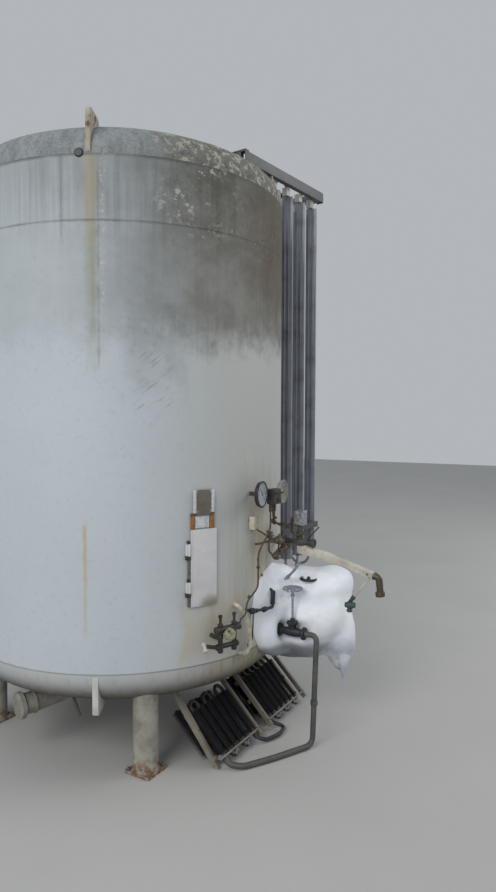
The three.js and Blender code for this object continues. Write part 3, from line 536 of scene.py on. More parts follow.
# Legs: four lengths of 168 mm pipe, each welded to the belly above and to a square plate below.
# Four anchor bolts hold each plate down, and the old paint has rusted in patches, most at the foot.
LEG_CIRCLE = 1.045
LEG_RADIUS = 0.084
LEG_INSIDE = 0.073
PLATE_HALF = 0.1
PLATE_THICK = 0.02
# a hair's gap, so that pieces that touch share no face
HAIR = 0.0003
LEG_FOOT = PLATE_THICK + HAIR


def add_part(mesh, part, turn=None):
    """Moves one form into a piece's mesh, set in its place by a matrix."""
    if turn is not None:
        part.transform(turn)
    data = bpy.data.meshes.new("form")
    part.to_mesh(data)
    part.free()
    mesh.from_mesh(data)
    bpy.data.meshes.remove(data)


def block(mesh, low, high, ease=0.002, turn=None, steps=2):
    """A box between two corners with softened edges, optionally set by a matrix."""
    part = bmesh.new()
    for corner in bmesh.ops.create_cube(part, size=1)["verts"]:
        corner.co = Vector((corner.co[k] + 0.5) * (high[k] - low[k]) + low[k] for k in range(3))
    if ease:
        bmesh.ops.bevel(part, geom=part.edges[:], offset=ease, segments=steps, affect="EDGES", profile=0.6)
    add_part(mesh, part, turn)


def hex_bolt(mesh, foot, way, across, head, stud=0.0, washer=0.0):
    """A hexagon head or nut on a face, with an optional washer below and stud end above."""
    foot, way = Vector(foot), Vector(way).normalized()
    if washer:
        turned(mesh, [(0, 0), (across, 0), (across, washer), (0, washer)], foot, way, 20)
    top = foot + way * washer
    r = across / sqrt(3)
    turned(mesh, [(0, 0), (r, 0), (r, head * 0.82), (r * 0.86, head), (0, head)], top, way, 6)
    if stud:
        s = across * 0.33
        turned(mesh, [(s, head * 0.9), (s, head + stud - 0.002), (s - 0.002, head + stud), (0, head + stud)],
               top, way, 12)


# Old paint on steel: where dirt lies on it, where rust has come through in islands, and its relief.
old_paint, entry, leave = new_group("old_paint", {"Place": None, "Size": 0.03, "Rust": 0.3, "Dirt": 0.4},
        {"Rusty": "Float", "Dirty": "Float", "Rough": "Float"})
tree = old_paint
rusty = islands(tree, entry["Place"], entry["Size"], entry["Rust"], 0.05)
cloudy = speckle(tree, entry["Place"], 9.0, 6.0, 0.65)
dirty = times(tree, step_up(tree, cloudy, 0.35, 0.7), entry["Dirt"])
pitted = plus_share(tree, rusty, 0.6, times(tree, speckle(tree, entry["Place"], 160.0, 3.0), 0.5))
tree.links.new(rusty, leave["Rusty"])
tree.links.new(dirty, leave["Dirty"])
tree.links.new(pitted, leave["Rough"])


def painted_steel(name, light, dark, rust, size, cover, dirt, roughness=0.6, foot=None, deep=0.0008):
    """Old paint over steel, rustier near the foot where foot gives the two heights."""
    finish, tree, shader, place = new_finish(name, roughness)
    worn = placed(tree, old_paint, {"Place": place, "Size": size, "Rust": cover, "Dirt": dirt})
    colour = mix(tree, speckle(tree, place, 6.0, 4.0), light, dark)
    colour = mix(tree, worn["Dirty"], colour, (104, 99, 86))
    shade = mix(tree, speckle(tree, place, 45.0, 4.0), rust, (92, 62, 42))
    where = worn["Rusty"]
    if foot:
        height = split(tree, place)["Z"]
        near_foot = fall_off(tree, height, foot[0], foot[1])
        more = islands(tree, place, size, 0.6, 0.1)
        where = sum_up(tree, "MAXIMUM", where, times(tree, near_foot, more))
    colour = mix(tree, where, colour, shade)
    dressed(tree, shader, colour, worn["Rough"], deep, plus_share(tree, where, 0.3, roughness))
    return finish


leg_paint = painted_steel("leg_paint", (168, 165, 155), (146, 143, 133), (146, 108, 76), 0.045, 0.22, 0.6,
        0.65, foot=(0.02, 0.16))
anchor_zinc = painted_steel("anchor_zinc", (120, 116, 108), (98, 95, 90), (132, 86, 54), 0.01, 0.45, 0.5,
        0.55, deep=0.0003)


def belly_height(out):
    """The height of the bottom head at a distance from the tank's axis."""
    knuckle_at, ball = 0.9985, CROWN_RADIUS - KNUCKLE
    turn = asin(knuckle_at / ball)
    if out > CROWN_RADIUS * sin(turn):
        return BOTTOM_TANGENT - sqrt(max(KNUCKLE ** 2 - (out - knuckle_at) ** 2, 0))
    return BOTTOM_TANGENT + ball * cos(turn) - sqrt(CROWN_RADIUS ** 2 - out ** 2)


LEGS = {"front_left": -45, "front_right": 45, "rear_right": 135, "rear_left": -135}
for place_name, azimuth in LEGS.items():
    turn = radians(azimuth)
    x, y = LEG_CIRCLE * sin(turn), -LEG_CIRCLE * cos(turn)
    mesh = bmesh.new()
    # the pipe wall ends where it meets the belly, and stands in a bead of weld on the plate
    turned(mesh, [(LEG_RADIUS + 0.008, LEG_FOOT), (LEG_RADIUS + 0.004, LEG_FOOT + 0.005),
                  (LEG_RADIUS, LEG_FOOT + 0.012), (LEG_RADIUS, 0.25), (LEG_RADIUS, 0.55), (LEG_INSIDE, 0.55),
                  (LEG_INSIDE, LEG_FOOT)], (x, y, 0), sides=48, ring=True)
    for corner in mesh.verts:
        if corner.co.z > 0.5:
            corner.co.z = belly_height(corner.co.xy.length) + 0.002
    block(mesh, (x - PLATE_HALF, y - PLATE_HALF, 0.0003), (x + PLATE_HALF, y + PLATE_HALF, PLATE_THICK),
          0.003)
    piece("leg_" + place_name, mesh, leg_paint, node="leg_" + place_name)
    bolts = bmesh.new()
    for sx, sy in ((-1, -1), (1, -1), (1, 1), (-1, 1)):
        hex_bolt(bolts, (x + sx * 0.082, y + sy * 0.082, PLATE_THICK), UP, 0.019, 0.01, 0.01, 0.002)
    piece("leg_anchors_" + place_name, bolts, anchor_zinc)

# Lugs: a lifting lug with its shackle eye on each side of the top, and a tie-down lug below.
# They are flame-cut from thick plate, ground at the edges and welded to the knuckle.
LIFT_LUG = {"azimuth": -61.7, "inner": 0.995, "outer": 1.21, "foot": 3.945, "top": 4.222, "thick": 0.03}
LIFT_EYE = {"radius": 1.085, "z": 4.184, "bore": 0.022}
TIE_LUG = {"azimuth": -60.8, "inner": 1.000, "outer": 1.2, "bottom": 0.447, "thick": 0.038}


def cut_plate(mesh, outline, thick, turn=None, ease=0.0025, hole=None):
    """A flat plate with a closed outline in x and z, centred on y; hole gives x, z, bore and sides."""
    part = bmesh.new()
    count = len(outline)
    fronts, backs = [[part.verts.new((px, side, pz)) for px, pz in outline]
                     for side in (-thick / 2, thick / 2)]
    for k in range(count):
        j = (k + 1) % count
        part.faces.new((fronts[k], fronts[j], backs[j], backs[k]))
    if hole is None:
        part.faces.new(fronts)
        part.faces.new(backs)
    else:
        hx, hz, bore, sides = hole
        turns = [2 * pi * k / sides for k in range(sides)]
        rings = []
        for side, verts in ((-thick / 2, fronts), (thick / 2, backs)):
            ring = [part.verts.new((hx + bore * cos(a), side, hz + bore * sin(a))) for a in turns]
            border = [part.edges.new((ring[k], ring[(k + 1) % sides])) for k in range(sides)]
            border += [part.edges.get((verts[k], verts[(k + 1) % count])) for k in range(count)]
            bmesh.ops.triangle_fill(part, use_beauty=True, edges=border)
            rings.append(ring)
        for k in range(sides):
            j = (k + 1) % sides
            part.faces.new((rings[0][k], rings[0][j], rings[1][j], rings[1][k]))
    bmesh.ops.recalc_face_normals(part, faces=part.faces)
    if ease:
        sharp = [edge for edge in part.edges if len(edge.link_faces) == 2 and edge.calc_face_angle(0) > 1.0]
        bmesh.ops.bevel(part, geom=sharp, offset=ease, segments=2, affect="EDGES", profile=0.6)
    add_part(mesh, part, turn)


def about_z(degrees):
    return Matrix.Rotation(radians(degrees), 4, "Z")


def lug(name, outline, thick, azimuth, finish, node, hole=None):
    mesh = bmesh.new()
    cut_plate(mesh, outline, thick, about_z(azimuth - 90), hole=hole)
    piece(name, mesh, finish, node=node)


lug_paint = painted_steel("lug_paint", (186, 176, 158), (166, 156, 138), (140, 104, 74), 0.05, 0.34, 0.6,
        0.68, deep=0.0012)
tie_lug_paint = painted_steel("tie_lug_paint", (214, 212, 206), (194, 191, 184), (138, 110, 86), 0.03, 0.1,
        0.3, 0.6, deep=0.0008)
corner_at = Vector((LIFT_LUG["outer"] - 0.04, LIFT_LUG["top"] - 0.04))
other_corner = Vector((LIFT_LUG["inner"] + 0.04, LIFT_LUG["top"] - 0.04))
arc_steps = [pi / 2 * k / 8 for k in range(9)]
lift_outline = [(1.199, LIFT_LUG["foot"]), (LIFT_LUG["outer"], LIFT_LUG["foot"] + 0.015)]
lift_outline += [(corner_at.x + 0.04 * cos(a), corner_at.y + 0.04 * sin(a)) for a in arc_steps]
lift_outline += [(other_corner.x - 0.04 * sin(a), other_corner.y + 0.04 * cos(a)) for a in arc_steps]
lift_outline += [(LIFT_LUG["inner"], 4.06), (1.1, 4.02)]
tie_outline = [(TIE_LUG["inner"], 0.56), (TIE_LUG["inner"], TIE_LUG["bottom"] + 0.04),
               (TIE_LUG["inner"] + 0.02, TIE_LUG["bottom"]), (TIE_LUG["outer"] - 0.02, TIE_LUG["bottom"]),
               (TIE_LUG["outer"] - 0.006, TIE_LUG["bottom"] + 0.006),
               (TIE_LUG["outer"], TIE_LUG["bottom"] + 0.02), (TIE_LUG["outer"], 0.7), (1.15, 0.62)]
eye = (LIFT_EYE["radius"], LIFT_EYE["z"], LIFT_EYE["bore"], 28)
for side, turn in (("left", 0), ("right", 180)):
    lug("lifting_lug_" + side, lift_outline, LIFT_LUG["thick"], LIFT_LUG["azimuth"] + turn, lug_paint,
        "lifting_lug_" + side, hole=eye)
    lug("tie_lug_" + side, tie_outline, TIE_LUG["thick"], TIE_LUG["azimuth"] + turn, tie_lug_paint,
        "tie_lug_" + side)

# Evacuation port: a short pipe from the belly with a bolted round cover, where the vacuum is drawn.
# Its paint is patched with lichen; a thin purge tube comes out beside it.
PORT_COVER = Vector((-1.033, 0.122, 0.353))
PORT_WAY = Vector((-0.944, 0.326, -0.05)).normalized()


def swept(mesh, route, radius, sides=14, taper=None):
    """A round bar or pipe along a route, with closed ends; taper gives a radius for each point."""
    route = [Vector(p) for p in route]
    ways = [(b - a).normalized() for a, b in zip(route, route[1:])]
    side = ways[0].orthogonal().normalized()
    rows = []
    for k, spot in enumerate(route):
        before, after = ways[max(k - 1, 0)], ways[min(k, len(ways) - 1)]
        way = (before + after).normalized()
        side = (side - way * side.dot(way)).normalized()
        other = way.cross(side)
        stretch = 1 / max(before.dot(way), 0.5)
        r = taper[k] if taper else radius
        row = []
        for n in range(sides):
            a = 2 * pi * n / sides
            offset = (side * cos(a) + other * sin(a)) * r
            bend = after - before
            if bend.length > 1e-6 and 0 < k < len(route) - 1:
                across = bend.normalized()
                offset += across * offset.dot(across) * (stretch - 1)
            row.append(mesh.verts.new(spot + offset))
        rows.append(row)
    for low, high in zip(rows, rows[1:]):
        for n in range(sides):
            j = (n + 1) % sides
            mesh.faces.new((low[n], low[j], high[j], high[n]))
    mesh.faces.new(list(reversed(rows[0])))
    mesh.faces.new(rows[-1])


def mm(*points):
    """Points given in millimetres, as in the maker's drawings."""
    return [tuple(value / 1000 for value in point) for point in points]


def disc(mesh, centre, way, radius, back, front, ease=0.002, sides=40):
    """A round plate or boss between two distances along a way, with eased rims."""
    r, e = radius, ease
    profile = [(0, back), (r - e, back), (r - 0.3 * e, back + 0.3 * e), (r, back + e), (r, front - e),
               (r - 0.3 * e, front - 0.3 * e), (r - e, front), (0, front)]
    turned(mesh, profile, centre, way, sides)


port_paint = painted_steel("port_paint", (166, 163, 154), (138, 135, 126), (120, 108, 92), 0.05, 0.22, 0.6,
        0.75, deep=0.002)
mesh = bmesh.new()
route = [PORT_COVER - PORT_WAY * far for far in (0.0203, 0.1, 0.2, 0.3, 0.36, 0.44)]
route[4].z += 0.015
route[5].z += 0.06
swept(mesh, route, 0.06, 40, taper=[0.074, 0.072, 0.068, 0.062, 0.06, 0.058])
disc(mesh, PORT_COVER, PORT_WAY, 0.08, -0.1, -0.088)
piece("port_body", mesh, port_paint, node="evacuation_port")
mesh = bmesh.new()
turned(mesh, mm((0, -20), (89, -20), (92, -17), (92, 12), (89, 15.5), (72, 16.5), (68, 18), (20, 17.8),
                (0, 17.8)), PORT_COVER, PORT_WAY, 56)
across = PORT_WAY.orthogonal().normalized()
for k in range(6):
    turn = Matrix.Rotation(radians(60 * k + 15), 3, PORT_WAY)
    hex_bolt(mesh, PORT_COVER + turn @ across * 0.08 + PORT_WAY * 0.0152, PORT_WAY, 0.008, 0.0025)
piece("port_cover", mesh, port_paint, node="evacuation_cover")

dark_pipe = painted_steel("dark_pipe", (70, 70, 68), (52, 52, 52), (98, 74, 54), 0.03, 0.35, 0.5, 0.55,
        deep=0.0005)
mesh = bmesh.new()
swept(mesh, mm((-1000, -333, 530), (-977, -384, 378)), 0.011, 20)
piece("purge_tube_pipe", mesh, dark_pipe, node="purge_tube")

# Vaporiser rails: two pressed steel channels, tied at both ends, that start over the shoulder.
# The bank of finned tubes hangs from them, and two feet hold them to the top head.
BANK = Matrix.Translation((0.483, -0.748, 0)) @ about_z(-5.75)
RAIL_LENGTH = 1.235
RAIL_TOP = 4.453
RAIL_FOOT = 4.368
RAIL_DEPTH = 0.05
REAR_RAIL = 0.311
END_ON = about_z(-90)

rail_steel = painted_steel("rail_steel", (82, 83, 87), (60, 61, 65), (98, 78, 60), 0.03, 0.26, 0.45, 0.5,
        deep=0.0005)
half_deep, wall = RAIL_DEPTH / 2, 0.006
channel = [(-half_deep, 0), (half_deep, 0), (half_deep, wall), (-half_deep + wall, wall),
           (-half_deep + wall, 0.085 - wall), (half_deep, 0.085 - wall), (half_deep, 0.085),
           (-half_deep, 0.085)]
for place_name, y, facing in (("front", 0, 1), ("rear", REAR_RAIL, -1)):
    mesh = bmesh.new()
    start = 0.0 if facing > 0 else 0.012
    set_in = BANK @ Matrix.Translation((start + (RAIL_LENGTH - start) / 2, y, RAIL_FOOT)) @ END_ON
    outline = [(-facing * px, pz) for px, pz in channel]
    cut_plate(mesh, outline, RAIL_LENGTH - start, set_in, ease=0.0015)
    name = "vaporiser_rail_" + place_name
    piece(name + "_channel", mesh, rail_steel, node=name)

mesh = bmesh.new()
block(mesh, (0, -0.025, RAIL_TOP + HAIR), (0.05, REAR_RAIL + 0.025, RAIL_TOP + 0.012), 0.002, BANK)
block(mesh, (0.004, 0.0253, RAIL_TOP - 0.04), (0.046, 0.2857, RAIL_TOP - 0.001), 0.002, BANK)
for y in (0.0, REAR_RAIL):
    hex_bolt(mesh, BANK @ Vector((0.025, y, RAIL_TOP + 0.0118)), UP, 0.014, 0.0001)
piece("vaporiser_tie_left_bars", mesh, rail_steel, node="vaporiser_tie_left")
mesh = bmesh.new()
block(mesh, (RAIL_LENGTH + HAIR, -0.025, RAIL_FOOT - 0.006), (RAIL_LENGTH + 0.012, 0.04, RAIL_TOP - 0.008),
      0.002, BANK)
block(mesh, (RAIL_LENGTH - 0.05, 0.0253, RAIL_FOOT + 0.008), (RAIL_LENGTH - 0.002, 0.2857, RAIL_TOP - 0.008),
      0.002, BANK)
block(mesh, (RAIL_LENGTH - 0.004, 0.03, RAIL_FOOT + 0.008), (RAIL_LENGTH + 0.012, 0.2857, RAIL_TOP - 0.008),
      0.002, BANK)
piece("vaporiser_tie_right_bars", mesh, rail_steel, node="vaporiser_tie_right")

# Feet of the rails: a steel upright from the shoulder to the front rail, and a short foot on the
# head under the tie at the left. Both are welded on and carry half the weight of the bank.
mesh = bmesh.new()
block(mesh, (0.385, -0.02, 4.135), (0.4, 0.025, RAIL_FOOT - HAIR), 0.002, BANK)
block(mesh, (0.34, -0.022, 4.02), (0.385, 0.027, 4.075), 0.004, BANK)
piece("vaporiser_shoulder_foot", mesh, lug_paint, node="vaporiser_shoulder_bracket")
mesh = bmesh.new()
block(mesh, (0.004, 0.0253, 4.25), (0.046, 0.0653, RAIL_TOP - 0.035), 0.002, BANK)
piece("vaporiser_head_foot", mesh, rail_steel)

# Star-fin tubes: aluminium extrusions with eight fins round a bore, cut to 3.25 m and joined by
# welded return bends at alternate ends, so that the liquid goes through all seven in turn.
FIRST_TUBE = 0.537
TUBE_PITCH = 0.207
TUBE_SET = 0.052
TUBE_FOOT = 1.05
TUBE_HEAD = 4.297
FIN_TIP = 0.052
BEND_PIPE = 0.0135

fin_aluminium, tree, shader, place = new_finish("fin_aluminium", 0.5, 0.35)
parts = split(tree, place)
lengthwise = joined(tree, *(times(tree, parts[k], grain) for k, grain in enumerate((60.0, 60.0, 1.1))))
drawn = speckle(tree, lengthwise, 1.0, 5.0, 0.6)
colour = mix(tree, step_up(tree, drawn, 0.3, 0.7), (148, 151, 160), (182, 184, 190))
oxide = islands(tree, place, 0.05, 0.36, 0.2)
colour = stained(tree, colour, (168, 168, 164), oxide, 0.5)
grimy = times(tree, step_up(tree, speckle(tree, place, 5.0, 5.0), 0.45, 0.75), 0.5)
colour = mix(tree, grimy, colour, (88, 86, 84))
dressed(tree, shader, colour, drawn, 0.0004, step_up(tree, drawn, 0.2, 0.8, 0.42, 0.62))

hanger_nylon = painted_steel("hanger_nylon", (214, 214, 210), (196, 196, 190), (140, 132, 118), 0.02, 0.2,
        0.35, 0.6, deep=0.0004)


def star_fin(fins=8, root=0.0165, tip=FIN_TIP):
    """The outline of one extrusion: thin fins that taper to a rounded tip, and fillets between."""
    outline = []
    for k in range(fins):
        turn = 2 * pi * k / fins
        for radial, across in ((root, -0.0046), (root + 0.004, -0.0026), (tip - 0.002, -0.0018),
                               (tip, -0.0006), (tip, 0.0006), (tip - 0.002, 0.0018), (root + 0.004, 0.0026),
                               (root, 0.0046)):
            outline.append((radial * cos(turn) - across * sin(turn), radial * sin(turn) + across * cos(turn)))
    return outline


def upright(mesh, outline, x, y, low, high, rows=1):
    """An outline in x and y drawn up between two heights, with flat ends."""
    levels = [low + (high - low) * k / rows for k in range(rows + 1)]
    rings = [[mesh.verts.new((x + px, y + py, z)) for px, py in outline] for z in levels]
    count = len(outline)
    for below, over in zip(rings, rings[1:]):
        for k in range(count):
            mesh.faces.new((below[k], below[(k + 1) % count], over[(k + 1) % count], over[k]))
    mesh.faces.new(list(reversed(rings[0])))
    mesh.faces.new(rings[-1])


def return_bend(mesh, start, end, z, up, reach_out=0.02):
    """A half-round pipe between the ends of two tubes, with a weld ring at each."""
    start, end = Vector((*start, z)), Vector((*end, z))
    middle, half = (start + end) / 2, (end - start) / 2
    lift = Vector((0, 0, up * reach_out))
    arc = [middle + lift - half * cos(a) + Vector((0, 0, up * half.length * sin(a)))
           for a in (pi * k / 14 for k in range(15))]
    swept(mesh, [start] + arc + [end], BEND_PIPE, 14)
    for foot in (start, end):
        turned(mesh, mm((0, -2), (18, 0), (19, 4), (15, 10), (0, 10)), foot, (0, 0, up), 16)


front_tubes = [(FIRST_TUBE + TUBE_PITCH * k, TUBE_SET) for k in range(4)]
rear_tubes = [(x, y + TUBE_PITCH) for x, y in front_tubes[1:]]
for row, tubes, along, rail in (("front", front_tubes, TUBE_SET, 0.0),
        ("rear", rear_tubes, REAR_RAIL - TUBE_SET, REAR_RAIL)):
    mesh = bmesh.new()
    for x, y in tubes:
        upright(mesh, star_fin(), x, y, TUBE_FOOT, TUBE_HEAD, 6)
    if row == "front":
        return_bend(mesh, tubes[0], tubes[1], TUBE_HEAD, 1)
        return_bend(mesh, tubes[1], tubes[2], TUBE_FOOT, -1)
        return_bend(mesh, tubes[2], tubes[3], TUBE_HEAD, 1)
    else:
        return_bend(mesh, tubes[2], tubes[1], TUBE_HEAD, 1)
        return_bend(mesh, tubes[1], tubes[0], TUBE_FOOT, -1)
        return_bend(mesh, front_tubes[3], tubes[2], TUBE_FOOT - 0.001, -1)
        foot = Vector((*tubes[0], TUBE_HEAD - 0.001))
        turned(mesh, [(0, 0), (BEND_PIPE, 0), (BEND_PIPE, 0.05), (0.0165, 0.052), (0.018, 0.055),
                      (0.018, 0.072), (0.0165, 0.075), (0, 0.075)], foot, UP, 20)
    mesh.transform(BANK)
    name = "vaporiser_tubes_" + row
    piece(name + "_finned", mesh, fin_aluminium, node=name)
    mesh = bmesh.new()
    for x, y in tubes:
        block(mesh, (x - 0.056, along - 0.026, TUBE_HEAD + HAIR),
              (x - 0.004, along + 0.026, RAIL_FOOT - HAIR), 0.004, BANK)
    piece("vaporiser_hangers_" + row, mesh, hanger_nylon)
    bolts = bmesh.new()
    for x, y in tubes:
        hex_bolt(bolts, BANK @ Vector((x - 0.03, rail, RAIL_TOP)), UP, 0.012, 0.008, 0.0, 0.0015)
    piece("vaporiser_rail_bolts_" + row, bolts, anchor_zinc)

# Lower steady bars: two flat steel bars that keep the tubes' lower ends in line.
# Each is clamped across one row, a quarter of a metre above the lower bends.
for row, near in (("front", -0.0103), ("rear", 0.3113)):
    mesh = bmesh.new()
    start = 0.475 if row == "front" else 0.62
    block(mesh, (start, near, 1.29), (RAIL_LENGTH - 0.022, near + 0.01, 1.345), 0.0015, BANK)
    name = "vaporiser_bar_" + row
    piece(name + "_flat", mesh, rail_steel, node=name)

# Pressure-raising coils: bare aluminium pipe with thin round fins, in runs that climb at 45 degrees.
# Liquid boils in them to keep up the tank's pressure, so their lower bends are furred with frost.
SLOPE = radians(45)
COIL_FOOT = Vector((0, -1.15, 0.078))
COIL_RUN = 0.35
UPHILL = Vector((0, cos(SLOPE), sin(SLOPE)))
OFF_SLOPE = Vector((0, -sin(SLOPE), cos(SLOPE)))
COILS = {"left": {"first": -0.44, "pitch": 0.078, "count": 6},
         "right": {"first": 0.205, "pitch": 0.074, "count": 7}}


def eased(corners, cut, steps=3):
    """Rounds the inner corners of a route or profile, each by at most half its runs."""
    corners = [Vector(c) for c in corners]
    route = [corners[0]]
    for before, at, after in zip(corners, corners[1:], corners[2:]):
        back, ahead = before - at, after - at
        reach = min(cut, back.length * 0.49, ahead.length * 0.49)
        start, end = at + back.normalized() * reach, at + ahead.normalized() * reach
        for step in range(steps + 1):
            t = step / steps
            route.append(start * (1 - t) ** 2 + at * 2 * t * (1 - t) + end * t ** 2)
    return route + [corners[-1]]


def on_slope(x, along, lift=0.0):
    return Vector((x, 0, 0)) + COIL_FOOT + UPHILL * along + OFF_SLOPE * lift


def finned_run(mesh, foot, pitch=0.0058, tip=0.0352, sides=18, core=0.0132):
    """One run of pipe with its row of thin dished fins, turned in one go."""
    profile = [(0, 0.0), (core, 0.0)]
    along = 0.008
    while along < COIL_RUN - 0.012:
        profile += [(core, along), (tip, along + 0.0032), (tip, along + 0.0041), (core, along + 0.0011)]
        along += pitch
    profile += [(core, COIL_RUN), (0, COIL_RUN)]
    turned(mesh, profile, foot, UPHILL, sides)


def coil_bend(mesh, start, end, along, direction):
    half = abs(end - start) / 2
    middle = (start + end) / 2
    arc = [on_slope(middle - half * cos(a), along + direction * (0.012 + half * sin(a)))
           for a in (pi * k / 12 for k in range(13))]
    swept(mesh, [on_slope(start, along - direction * 0.004)] + arc +
          [on_slope(end, along - direction * 0.004)], BEND_PIPE, 14)


coil_aluminium, tree, shader, place = new_finish("coil_aluminium", 0.55, 0.35)
colour = mix(tree, speckle(tree, place, 12.0, 5.0), (50, 50, 54), (70, 70, 73))
grime = islands(tree, place, 0.06, 0.5, 0.2)
colour = stained(tree, colour, (44, 42, 42), grime, 0.6)
dressed(tree, shader, colour, speckle(tree, place, 180.0, 3.0), 0.0004)

link_start = COILS["left"]["first"] + 5 * COILS["left"]["pitch"]
last_run = COILS["right"]["first"] + 6 * COILS["right"]["pitch"]
for side, coil in COILS.items():
    mesh = bmesh.new()
    places = [coil["first"] + k * coil["pitch"] for k in range(coil["count"])]
    for x in places:
        finned_run(mesh, on_slope(x, 0))
    for k, (start, end) in enumerate(zip(places, places[1:])):
        top = k % 2 == 0
        coil_bend(mesh, start, end, COIL_RUN if top else 0.0, 1 if top else -1)
    if side == "right":
        link = [on_slope(link_start, -0.0003), on_slope(link_start, -0.042), (-0.034, -1.251, 0.03),
                (0.103, -1.301, 0.03), (0.222, -1.278, 0.03), on_slope(places[0], -0.042),
                on_slope(places[0], 0.01)]
        swept(mesh, eased(link, 0.035, 5), BEND_PIPE, 14)
        swept(mesh, [on_slope(last_run, COIL_RUN - 0.004), on_slope(last_run - 0.06, 0.585)], BEND_PIPE, 14)
    name = "coil_%s_tubes" % side
    piece(name + "_finned", mesh, coil_aluminium, node=name, crease=30)
    # two more rows stand behind the front one, the nearer set between its runs
    mesh = bmesh.new()
    for back, along, shift in ((-0.062, 0.0, 0.5), (-0.124, 0.072, 0.0)):
        for x in places[:-1] if shift else places:
            finned_run(mesh, on_slope(x + shift * coil["pitch"], along, back), 0.0082, 0.0352, 12)
    piece("coil_%s_rear_rows" % side, mesh, coil_aluminium, crease=30)

# Coil frames: painted flat bars on edge, with cross bars under the runs, stood on the ground and
# welded to the belly; a square prop holds the left one.
frame_paint = painted_steel("frame_paint", (146, 138, 124), (118, 110, 98), (116, 84, 60), 0.035, 0.3, 0.75,
        0.6, deep=0.0006)
TILT = Matrix.Rotation(SLOPE, 4, "X")


def slope_block(mesh, x, along, lift, size, ease=0.0015):
    spot = on_slope(x, along, lift)
    half = [s / 2 for s in size]
    block(mesh, [-h for h in half], half, ease, Matrix.Translation(spot) @ TILT)


def cut_at_ground(part):
    """Cuts a bar's foot off level just above the ground and closes the cut."""
    whole = part.verts[:] + part.edges[:] + part.faces[:]
    bmesh.ops.bisect_plane(part, geom=whole, plane_co=(0, 0, 0.0004), plane_no=(0, 0, -1), clear_outer=True)
    bmesh.ops.holes_fill(part, edges=[edge for edge in part.edges if edge.is_boundary])
    return part


def slope_bar(mesh, x, low=0.012, high=0.585):
    """A flat bar on edge up the slope, its foot cut level with the ground."""
    part = bmesh.new()
    slope_block(part, x, (low + high) / 2 - 0.02, 0.012, (0.022, high - low + 0.1, 0.036))
    add_part(mesh, cut_at_ground(part))


for side, bars, low_x, high_x in (("left", [0.0], -0.5, 0.0), ("right", [0.16, 0.745], 0.16, 0.745)):
    mesh = bmesh.new()
    for x in bars:
        slope_bar(mesh, x, high=0.56 if x < 0.7 else 0.45)
    for along in (0.014, COIL_RUN / 2, COIL_RUN - 0.014):
        slope_block(mesh, (low_x + high_x) / 2, along, -0.0363, (high_x - low_x, 0.03, 0.012))
    # the bar that closes the panel along its foot
    slope_block(mesh, (low_x + high_x) / 2, -0.0145, 0.0245, (high_x - low_x + 0.022, 0.012, 0.011))
    if side == "left":
        foot, head = Vector((-0.475, -1.133, 0.0)), Vector((-0.5195, -0.753, 0.535))
        way = (head - foot).normalized()
        prop = bmesh.new()
        swept(prop, [foot - way * 0.05, head], 0.024, 4)
        add_part(mesh, cut_at_ground(prop))
    name = "coil_%s_frame" % side
    piece(name + "_bars", mesh, frame_paint, node=name)

# Frost on the coils: the lower bends run coldest, and a knob of white rime sits round each.
# It grows from moist air, so nothing fixes it and it follows the pipe under it.
ice_white, tree, shader, place = new_finish("ice_white", 0.42)
cloudy = speckle(tree, place, 7.0, 5.0)
colour = mix(tree, step_up(tree, cloudy, 0.35, 0.7), (247, 250, 255), (236, 241, 250))
parts = split(tree, place)
height = parts["Z"]
# painted shade: the ice is darkened towards its lower part, more at its lower left and most near the ground,
# where it lies in shade
lower_ice_shade = times(tree, fall_off(tree, height, 0.58, 0.78), step_up(tree, cloudy, 0.3, 0.6, 0.35, 0.8))
colour = mix(tree, lower_ice_shade, colour, (154, 160, 170))
lower_left_ice_shade = times(tree, fall_off(tree, parts["X"], 0.28, 0.42), fall_off(tree, height, 0.655, 0.725))
colour = stained(tree, colour, (104, 108, 116), lower_left_ice_shade, 0.7)
colour = mix(tree, step_up(tree, height, 0.2, 0.4, 0.8, 0.0), colour, (104, 106, 108))
shader.inputs["Subsurface Weight"].default_value = 0.25
shader.inputs["Subsurface Radius"].default_value = (0.02, 0.03, 0.04)
shader.inputs["Subsurface Scale"].default_value = 0.6
grains = plus_share(tree, speckle(tree, place, 240.0, 2.0), 0.25, speckle(tree, place, 28.0, 4.0))
dressed(tree, shader, colour, grains, 0.003, step_up(tree, cloudy, 0.3, 0.7, 0.32, 0.6))


def rime_knob(mesh, centre, radii, seed):
    part = bmesh.new()
    bmesh.ops.create_uvsphere(part, u_segments=24, v_segments=14, radius=1)
    for corner in part.verts:
        corner.co *= 1 + 0.28 * noise.noise(corner.co * 1.7 + Vector((seed, 0, 0)))
    add_part(mesh, part, Matrix.Translation(centre) @ Matrix.Diagonal((*radii, 1)))


mesh = bmesh.new()
for side, coil in COILS.items():
    for k in range(1, coil["count"] - 1, 2):
        middle = coil["first"] + (k + 0.5) * coil["pitch"]
        for step in (-1, 0, 1):
            size = 0.017 + 0.006 * noise.noise(Vector((middle * 9, step, 0.5)))
            rime_knob(mesh, on_slope(middle + step * 0.024, -0.044 + 0.012 * abs(step)),
                      (size * 1.1, size, size), middle + step)
rime_knob(mesh, on_slope(COILS["left"]["first"] - 0.03, -0.004), (0.02, 0.018, 0.016), 4.0)
piece("coil_rime_knobs", mesh, ice_white, crease=70)

# Draw valve: a forged-steel globe valve on a stub from the jacket, bolted bonnet and gland on top.
# Liquid passes here whenever the tank delivers, so bare dark steel alternates with rime.
OUT = (0, -1, 0)
VALVE = Vector((0.15, -1.373, 0.785))
WHEEL_HEIGHT = 1.1


